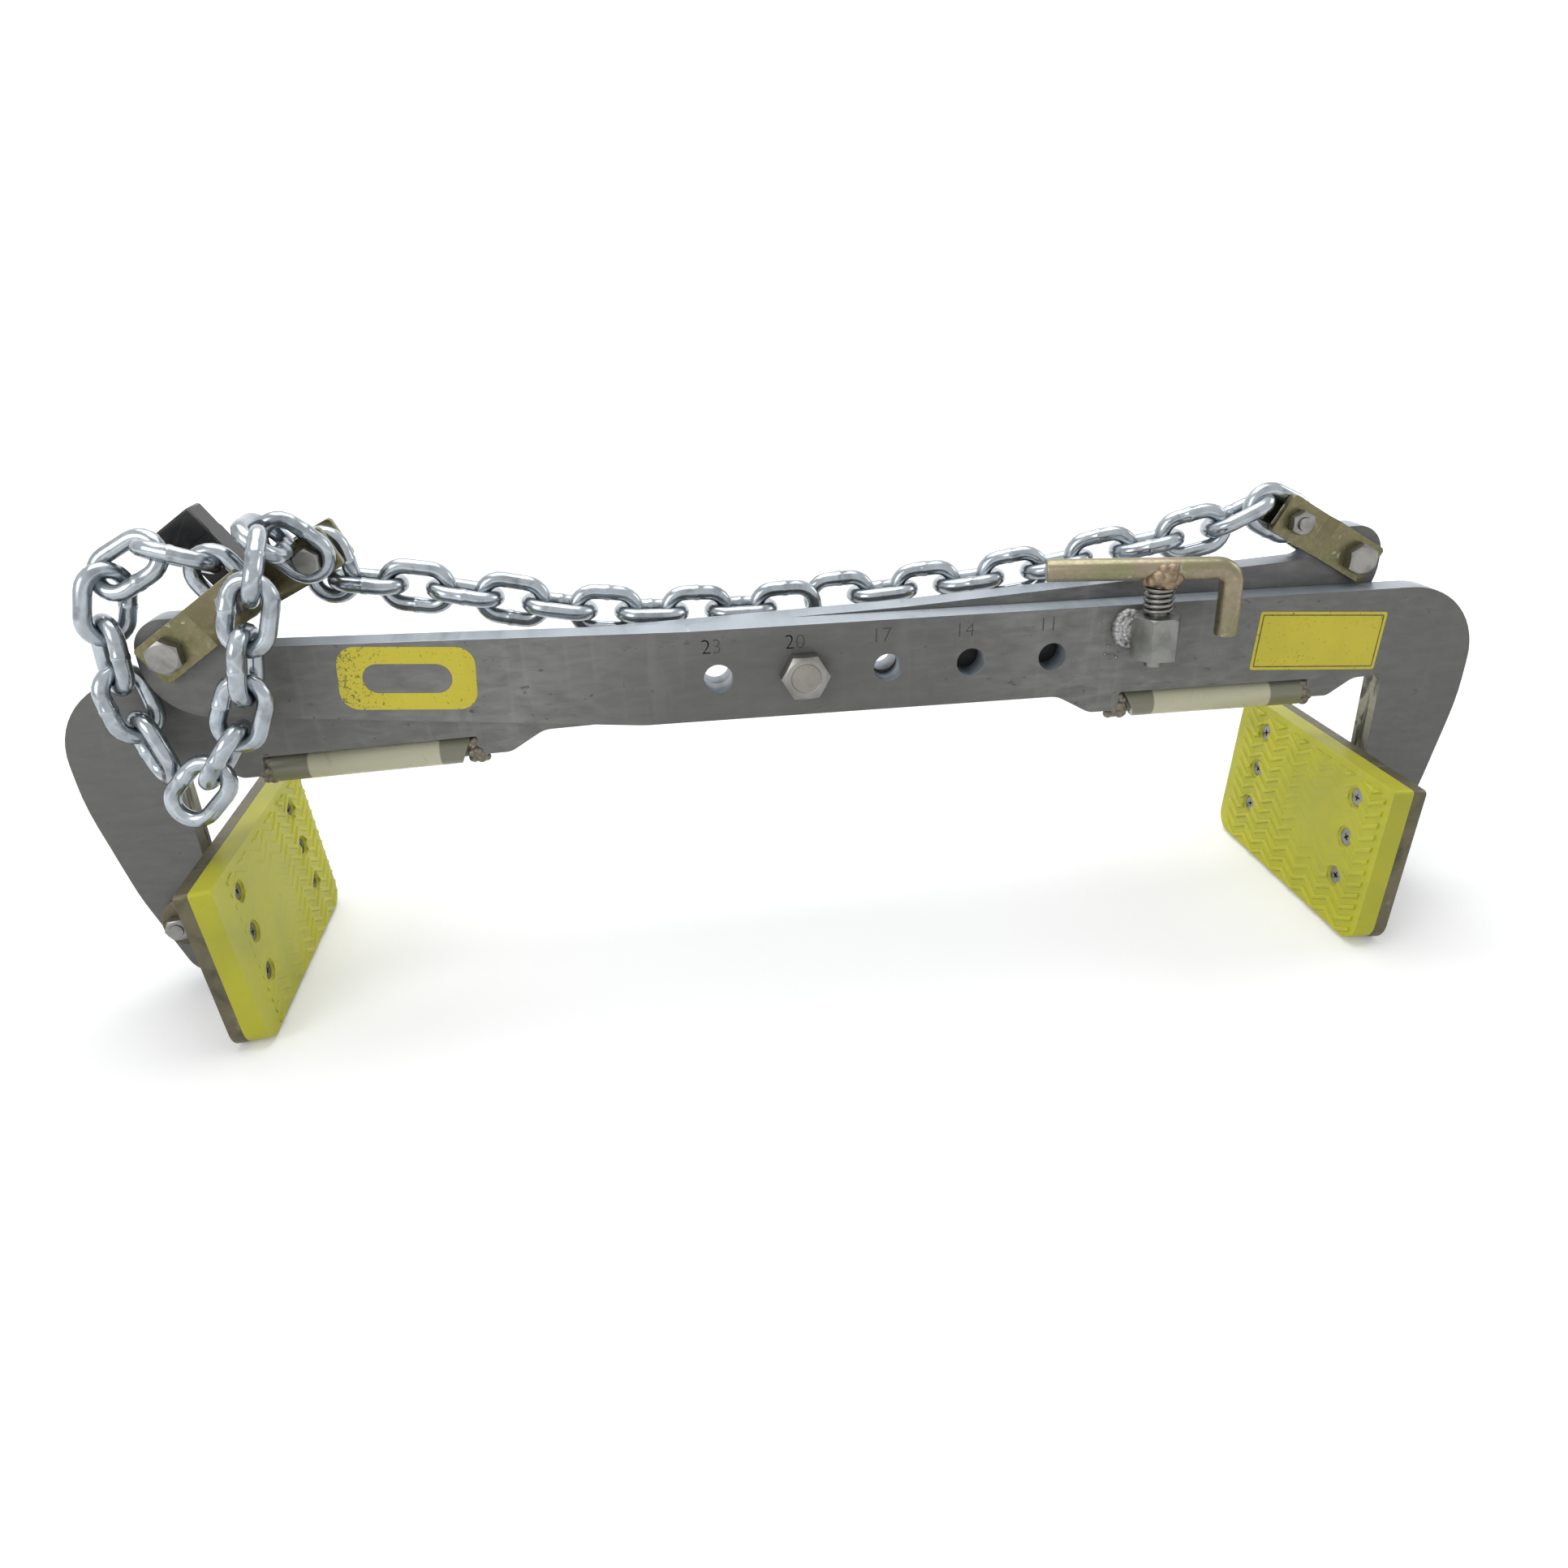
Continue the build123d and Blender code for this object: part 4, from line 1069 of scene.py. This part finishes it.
def wear_ribs(bm, sizes, low, high, near):
    """Lowers the ribs towards the worn spot between the pad's middle and its near screws."""
    worn_spot = Vector((0, near * 24 * MM, (low.z + high.z) / 2 + 6 * MM))
    wear, share = (sizes.left_wear, sizes.left_ribs) if near > 0 else (sizes.wear, 1.0)
    worn_off = 0.12
    for vert in bm.verts:
        if vert.co.x < low.x - 0.5 * sizes.rib_height:
            away = Vector((0, vert.co.y, vert.co.z)) - worn_spot
            left = min(1.0, (away.length / wear) ** 2 - worn_off)
            vert.co.x = low.x - sizes.rib_height * left * share


def screw_seats(low, high):
    """Middles of the six screw holes on the pad's face, in the jaw's frame."""
    column = bpy.context.scene.clamp_screws.column
    return [Vector((low.x, side * column, high.z - row)) for side in (-1, 1) for row in SCREW_ROWS]


class CLAMP_OT_jaw_pads(Operator):
    """Makes both pads with their zigzag tread"""
    bl_idname = "clamp.jaw_pads"
    bl_label = "Jaw pads"

    def execute(self, context):
        sizes = context.scene.clamp_pads
        for side in ("right", "left"):
            low, high = pad_extent(side)
            near = -1 if side == "right" else 1
            tread = new_object("tread", pad_ribs(sizes, low, high, near), ["pad"])
            carve(tread, self.screw_spots(sizes.screw_clear, low, high))
            body = merged_copy(f"{side}_jaw_pad")
            bevel_rims(body, context.scene.clamp_edges.pad, 4)
            body.normal_update()
            # The faces keep the plain yellow; top, sides and rounded edges take the darker yellow
            # of painted shade
            for face in body.faces:
                face.material_index = 0 if abs(face.normal.x) > 0.75 else 1
            ribs = bmesh.new()
            ribs.from_mesh(tread.data)
            merge_into(body, ribs, jaw_frame(side))
            bpy.data.objects.remove(tread)
            shade(body, 0.0001)
            piece = new_object(f"{side}_jaw_pad_tread", body, ["pad", "shaded_pad_side"])
            settle(piece, f"{side}_jaw", "pad", f"{side}_jaw_pad")
        return {"FINISHED"}

    def screw_spots(self, radius, low, high):
        """Round cutters that keep the ribs off the screws."""
        bm = bmesh.new()
        for seat in screw_seats(low, high):
            place = Matrix.Translation(seat) @ Matrix.Rotation(math.pi / 2, 4, "Y")
            bmesh.ops.create_cone(bm, cap_ends=True, segments=32, radius1=radius, radius2=radius,
                                  depth=8 * MM, matrix=place)
        return bm


def cross_screw(sizes):
    """Countersunk screw along Z with its head's top at z = 0 and a cross recess."""
    bm = bmesh.new()
    deep = sizes.head - sizes.shank
    bmesh.ops.create_cone(bm, cap_ends=True, segments=40, radius1=sizes.shank,
                          radius2=sizes.head, depth=deep,
                          matrix=Matrix.Translation((0, 0, -deep / 2)))
    top = [edge for edge in bm.edges if all(vert.co.z > -0.01 * MM for vert in edge.verts)]
    round_edges(bm, top, bpy.context.scene.clamp_edges.fastener)
    shade(bm, 0.00001)
    screw = new_object("screw", bm, ["bright_zinc"])
    cross = bmesh.new()
    through = 3 * MM
    for turn in (0, math.pi / 2):
        blade = bmesh.ops.create_cube(cross, size=1.0)["verts"]
        bmesh.ops.scale(cross, verts=blade, vec=(sizes.reach, sizes.slot, through))
        bottom = [vert for vert in blade if vert.co.z < 0]
        bmesh.ops.scale(cross, verts=bottom, vec=(0.35, 0.6, 1))
        bmesh.ops.transform(cross, matrix=Matrix.Rotation(turn, 4, "Z"), verts=blade)
    # The recess is lined with the dark stamped finish: painted shade in the cross
    carve(screw, cross, "stamped")
    return screw


class CLAMP_OT_jaw_screws(Operator):
    """Sets a cross recess screw in each hole of the pads"""
    bl_idname = "clamp.jaw_screws"
    bl_label = "Pad screws"

    def execute(self, context):
        sizes = context.scene.clamp_screws
        pattern = cross_screw(sizes)
        for side in ("right", "left"):
            low, high = pad_extent(side)
            screws = bmesh.new()
            for i, seat in enumerate(screw_seats(low, high)):
                one = bmesh.new()
                one.from_mesh(pattern.data)
                inwards = Matrix.Translation(seat + Vector((sizes.sink, 0, 0)))
                outwards = Matrix.Rotation(-math.pi / 2, 4, "Y")
                driven = Matrix.Rotation(0.7 * i, 4, "Z")
                merge_into(screws, one, jaw_frame(side) @ inwards @ outwards @ driven)
            head = "bright_zinc" if side == "right" else "dull_zinc"
            # The second finish is the cross recesses' painted shade
            piece = new_object(f"{side}_jaw_cross_screws", screws, [head, "stamped"])
            settle(piece, f"{side}_jaw", "bright_zinc", f"{side}_jaw_screws")
        bpy.data.objects.remove(pattern)
        return {"FINISHED"}


class CLAMP_OT_jaw_brackets(Operator):
    """Bevels the jaws' backing plates and clevises"""
    bl_idname = "clamp.jaw_brackets"
    bl_label = "Jaw brackets"

    def execute(self, context):
        sizes = context.scene.clamp_edges
        for side in ("right", "left"):
            bevelled(f"{side}_jaw_backing_plate", sizes.backing)
            bevelled(f"{side}_jaw_clevis", sizes.clevis)
        return {"FINISHED"}


def weld_bead(name, drops, grain, material, body, *replaced):
    """Bead of overlapping drops, each (x, y, z, radius, (stretch)), fused into one skin."""
    bm = bmesh.new()
    for x, y, z, radius, stretch in drops:
        place = Matrix.Translation((x, y, z)) @ Matrix.Diagonal((*stretch, 1.0))
        bmesh.ops.create_icosphere(bm, subdivisions=3, radius=radius, matrix=place)
    piece = new_object(name, bm, [material])
    fuse = piece.modifiers.new("fuse", "REMESH")
    fuse.mode = "VOXEL"
    fuse.voxel_size = grain
    smooth = piece.modifiers.new("smooth", "SMOOTH")
    smooth.factor = 0.5
    smooth.iterations = 4
    piece.data = solid_of(piece)
    for polygon in piece.data.polygons:
        polygon.use_smooth = True
    return settle(piece, body, material, *replaced)


class CLAMP_OT_latch(Operator):
    """Makes the latch's spring and weld beads, and bevels its boss and lever"""
    bl_idname = "clamp.latch"
    bl_label = "Latch"

    def execute(self, context):
        sizes = context.scene.clamp_latch
        low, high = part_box("latch_boss")
        axis = Vector(((low.x + high.x) / 2, (low.y + high.y) / 2, 0))
        bevelled("latch_boss", context.scene.clamp_edges.boss, "boss_zinc")
        bevelled("latch_lever", context.scene.clamp_edges.lever, "lever_zinc")
        self.spring(sizes, axis, high.z)
        self.boss_bead(sizes, low)
        self.lever_bead(sizes, axis)
        return {"FINISHED"}

    def spring(self, sizes, axis, seat):
        """Round wire spring between the boss and the washer."""
        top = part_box("latch_washer")[0].z
        radius = (sizes.coil - sizes.coil_wire) / 2
        gap = 0.05 * MM
        rise = top - seat - sizes.coil_wire - 2 * gap
        steps = 28 * sizes.coil_turns
        bm = bmesh.new()
        bmesh.ops.create_circle(bm, cap_ends=True, segments=12, radius=sizes.coil_wire / 2)
        start = Matrix.Translation((axis.x + radius, axis.y, seat + gap + sizes.coil_wire / 2))
        bmesh.ops.transform(bm, matrix=start @ Matrix.Rotation(math.pi / 2, 4, "X"),
                            verts=bm.verts)
        swept = bmesh.ops.spin(bm, geom=bm.edges[:], cent=axis, axis=(0, 0, 1),
                               dvec=(0, 0, rise / steps), angle=2 * math.pi * sizes.coil_turns,
                               steps=steps)
        bmesh.ops.holes_fill(bm, edges=edges_in(swept["geom_last"]), sides=0)
        bmesh.ops.recalc_face_normals(bm, faces=bm.faces)
        for face in bm.faces:
            face.smooth = len(face.verts) == 4
        piece = settle(new_object("latch_spring_wire", bm, ["bright_zinc"]), "front_arm",
                       "bright_zinc", "latch_spring")
        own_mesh(piece)

    def boss_bead(self, sizes, low):
        """Fan of ripples on the left of the boss, where it is welded to the arm."""
        middle = Vector((low.x + 1.6 * MM, PLATE_FRONT - 1.2 * MM, PIVOT.z + 9.6 * MM))
        drops = [(*middle, 5.4 * MM, (1.1, 1.1, 1.4))]
        for i in range(15):
            angle = math.radians(62 + 16.5 * i)
            out = Vector((math.cos(angle) * 5.6, -0.6 - 0.5 * (i % 2), math.sin(angle) * 7.6)) * MM
            drops.append((*(middle + out), 1.6 * MM, (1.3, 1.6, 1.0)))
        for i in range(9):
            angle = math.radians(80 + 25 * i)
            out = Vector((math.cos(angle) * 2.9, -4.0, math.sin(angle) * 4.6)) * MM
            drops.append((*(middle + out), 1.3 * MM, (1.2, 1.2, 0.8)))
        weld_bead("latch_boss_bead", drops, sizes.bead_grain, "weld_bead", "front_arm",
                  "latch_boss_weld")

    def lever_bead(self, sizes, axis):
        """Lumpy coppery bead between the pin and the lever, thickest in front."""
        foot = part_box("latch_lever_weld")[0].z
        bar = 10 * MM
        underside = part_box("latch_lever")[1].z - bar
        drops = [(axis.x, axis.y, foot + 2.4 * MM, 5.4 * MM, (1.1, 1, 0.6))]
        for i in range(10):
            angle = 2 * math.pi * i / 10
            reach = (4.4 + 0.4 * (i % 3)) * MM
            lift = (0.9 * (i % 2) - 0.3 * (i % 3)) * MM
            drops.append((axis.x + reach * math.cos(angle), axis.y + reach * math.sin(angle),
                          underside + lift, (2.6 + 0.2 * (i % 3)) * MM, (1.2, 1, 1)))
        for x, y, z, radius in LEVER_DROPS:
            drops.append((axis.x + x * MM, axis.y + y * MM, underside + z * MM, radius * MM,
                          (1, 1, 1)))
        weld_bead("latch_lever_bead", drops, sizes.bead_grain, "copper_weld", "latch_lever_body",
                  "latch_lever_weld")


class CLAMP_OT_handles(Operator):
    """Makes the weld beads at the handles' ends"""
    bl_idname = "clamp.handles"
    bl_label = "Handles"

    def execute(self, context):
        grain = context.scene.clamp_latch.bead_grain
        for side in ("front", "rear"):
            node = f"{side}_handle_welds"
            bm = merged_copy(node)
            drops = []
            for group in islands(bm):
                drops += self.bead_round(sum((vert.co for vert in group), Vector()) / len(group))
            bm.free()
            piece = weld_bead(f"{side}_handle_beads", drops, grain, "burnt_weld",
                              body_under(node), node)
        return {"FINISHED"}

    def bead_round(self, middle):
        """Drops of one bead, wound round the rod."""
        drops = []
        count = 30
        for i in range(count):
            angle = 2.4 * i
            reach = (4.3 + 0.5 * (i % 3)) * MM
            along = (i - (count - 1) / 2) * 0.22 * MM
            spot = middle + Vector((along, math.cos(angle) * reach, math.sin(angle) * reach))
            drops.append((*spot, (1.7 + 0.3 * (i % 3)) * MM, (1.1, 1, 1)))
        return drops


def rounded_plate(long, high, corner, segments=8):
    """Flat rounded rectangle in X, Y."""
    bm = bmesh.new()
    bmesh.ops.create_grid(bm, x_segments=1, y_segments=1, size=0.5)
    bmesh.ops.scale(bm, verts=bm.verts, vec=(long, high, 1))
    bmesh.ops.bevel(bm, geom=bm.verts[:], offset=corner, offset_type="OFFSET", segments=segments,
                    profile=0.5, affect="VERTICES", clamp_overlap=True, material=-1)
    return bm


def thicken(bm, film):
    """Turns a flat sheet into a closed film."""
    top = bmesh.ops.extrude_face_region(bm, geom=bm.faces[:])["geom"]
    bmesh.ops.translate(bm, verts=verts_in(top), vec=(0, 0, film))
    bmesh.ops.recalc_face_normals(bm, faces=bm.faces)


def frame_sheet(outer, window):
    """Flat sheet between the rims of two flat plates."""
    for plate in (outer, window):
        bmesh.ops.delete(plate, geom=plate.faces[:], context="FACES_ONLY")
    merge_into(outer, window)
    bmesh.ops.bridge_loops(outer, edges=outer.edges[:])
    return outer


class CLAMP_OT_labels(Operator):
    """Puts the two plain yellow stickers on the front arm"""
    bl_idname = "clamp.labels"
    bl_label = "Stickers"

    def execute(self, context):
        sizes = context.scene.clamp_labels
        self.frame_sticker(sizes)
        self.plain_sticker(sizes)
        return {"FINISHED"}

    def frame_sticker(self, sizes):
        """Rounded yellow frame with a long window."""
        round_end = 0.499 * sizes.window_high
        bm = frame_sheet(rounded_plate(sizes.frame_long, sizes.high, sizes.frame_corner),
                         rounded_plate(sizes.window_long, sizes.window_high, round_end))
        thicken(bm, sizes.film)
        bmesh.ops.transform(bm, matrix=on_front_arm(*FRAME_STICKER_AT), verts=bm.verts)
        settle(new_object("frame_sticker", bm, ["label"]), "front_arm", "pad")

    def plain_sticker(self, sizes):
        """Yellow rectangle with a thin dark border line laid on it."""
        bm, outer, inner = (
            rounded_plate(sizes.plain_long - 2 * inset, sizes.high - 2 * inset, corner, 3)
            for inset, corner in ((0.0, 1.2 * MM), (sizes.border_in, 0.8 * MM),
                                  (sizes.border_in + sizes.border_wide, 0.5 * MM)))
        thicken(bm, sizes.film)
        line = frame_sheet(outer, inner)
        proud = 0.03 * MM
        thicken(line, sizes.film + proud)
        for face in line.faces:
            face.material_index = 1
        merge_into(bm, line)
        bmesh.ops.transform(bm, matrix=on_front_arm(*PLAIN_STICKER_AT), verts=bm.verts)
        settle(new_object("plain_sticker", bm, ["label", "label_line"]), "front_arm", "pad")


class CLAMP_OT_spatter(Operator):
    """Drops the weld spatter on the front arm, left of the boss"""
    bl_idname = "clamp.spatter"
    bl_label = "Weld spatter"

    def execute(self, context):
        bm = bmesh.new()
        for x, z, radius in SPATTER:
            place = Matrix.Translation((PIVOT.x + x * MM, PLATE_FRONT, PIVOT.z + z * MM))
            bmesh.ops.create_icosphere(bm, subdivisions=3, radius=radius * MM, matrix=place)
        smooth_all(bm)
        settle(new_object("weld_spatter", bm, ["bright_zinc"]), "front_arm", "weld_bead")
        return {"FINISHED"}


class CLAMP_OT_other_finishes(Operator):
    """Gives every CAD piece that still shows the finish of its slot"""
    bl_idname = "clamp.other_finishes"
    bl_label = "Finish the rest"

    def execute(self, context):
        for name, piece in NODES.items():
            if not piece.hide_render:
                piece.data.materials.clear()
                piece.data.materials.append(finish_named(SLOTS[name]))
        return {"FINISHED"}


class CLAMP_OT_stage(Operator):
    """Sets the floor, the lights and the camera"""
    bl_idname = "clamp.stage"
    bl_label = "Stage"

    def execute(self, context):
        self.floor()
        self.lights(context)
        self.camera(context)
        context.scene.view_settings.view_transform = "Standard"
        return {"FINISHED"}

    def floor(self):
        """Floor that curves up into a backdrop behind the clamp."""
        bm = bmesh.new()
        bmesh.ops.create_grid(bm, x_segments=1, y_segments=1, size=FLOOR_HALF)
        at_back = 0.97 * FLOOR_HALF
        back = [edge for edge in bm.edges if all(vert.co.y > at_back for vert in edge.verts)]
        push_ring(bm, back, (0, 0, FLOOR_HALF))
        crease = [edge for edge in bm.edges
                  if all(vert.co.z < 10 * MM and vert.co.y > at_back for vert in edge.verts)]
        round_edges(bm, crease, BACKDROP_CURVE, 16)
        smooth_all(bm)
        new_object("floor", bm, ["floor"])

    def lights(self, context):
        """Broad light from above, weaker ones from both sides and a pale sky.

        The sky is white where it shows as the backdrop, and weaker as a light.
        """
        for name, at, size, power in LAMPS:
            light = bpy.data.lights.new(name, "AREA")
            light.size = size
            light.energy = power
            lamp = bpy.data.objects.new(name, light)
            context.scene.collection.objects.link(lamp)
            lamp.location = at
            lamp.rotation_euler = (LAMPS_AIM - Vector(at)).to_track_quat("-Z", "Y").to_euler()
        world = bpy.data.worlds.new("pale_sky")
        world.use_nodes = True
        tree = world.node_tree
        sky = tree.nodes["Background"]
        seen = sees_backdrop(tree)
        bluish, white = (0.97, 0.985, 1.0, 1.0), (1.0, 1.0, 1.0, 1.0)
        feed(tree, mix(tree, seen, bluish, white), sky.inputs["Color"])
        feed(tree, span(tree, seen, SKY_LIGHT, 1.0), sky.inputs["Strength"])
        context.scene.world = world

    def camera(self, context):
        """The photograph's camera."""
        lens = bpy.data.cameras.new("camera")
        lens.lens = LENS
        lens.sensor_width = SENSOR
        lens.clip_start = 10 * MM
        camera = bpy.data.objects.new("camera", lens)
        context.scene.collection.objects.link(camera)
        turn = Matrix((CAMERA_RIGHT, CAMERA_UP, -CAMERA_AHEAD)).transposed()
        eye = EYE + Vector((PIVOT.x, 0, PIVOT.z))
        camera.matrix_world = Matrix.Translation(eye) @ turn.to_4x4()
        context.scene.camera = camera


GROUPS = {
    "clamp_chain": ChainSizes, "clamp_pads": PadSizes, "clamp_screws": ScrewSizes,
    "clamp_labels": LabelSizes, "clamp_edges": EdgeSizes, "clamp_latch": LatchSizes,
    "clamp_finishes": Finishes,
}
STEPS = (CLAMP_OT_finishes, CLAMP_OT_arm_plates, CLAMP_OT_fasteners, CLAMP_OT_shackles,
         CLAMP_OT_chain, CLAMP_OT_jaw_pads, CLAMP_OT_jaw_screws, CLAMP_OT_jaw_brackets,
         CLAMP_OT_latch, CLAMP_OT_handles, CLAMP_OT_labels, CLAMP_OT_spatter,
         CLAMP_OT_other_finishes, CLAMP_OT_stage)


class CLAMP_PT_panel(Panel):
    """Lists the clamp's operators"""
    bl_idname = "CLAMP_PT_panel"
    bl_label = "Lifting clamp"
    bl_space_type = "VIEW_3D"
    bl_region_type = "UI"
    bl_category = "Clamp"

    def draw(self, context):
        for step in STEPS:
            self.layout.operator(step.bl_idname)


def register():
    for group in (*GROUPS.values(), *STEPS, CLAMP_PT_panel):
        bpy.utils.register_class(group)
    for name, group in GROUPS.items():
        setattr(bpy.types.Scene, name, PointerProperty(type=group))


def unregister():
    for name in GROUPS:
        delattr(bpy.types.Scene, name)
    for group in reversed((*GROUPS.values(), *STEPS, CLAMP_PT_panel)):
        bpy.utils.unregister_class(group)


def main():
    """Dresses the clamp."""
    register()
    for step in STEPS:
        group, name = step.bl_idname.split(".")
        getattr(getattr(bpy.ops, group), name)()


if __name__ == "__main__":
    main()
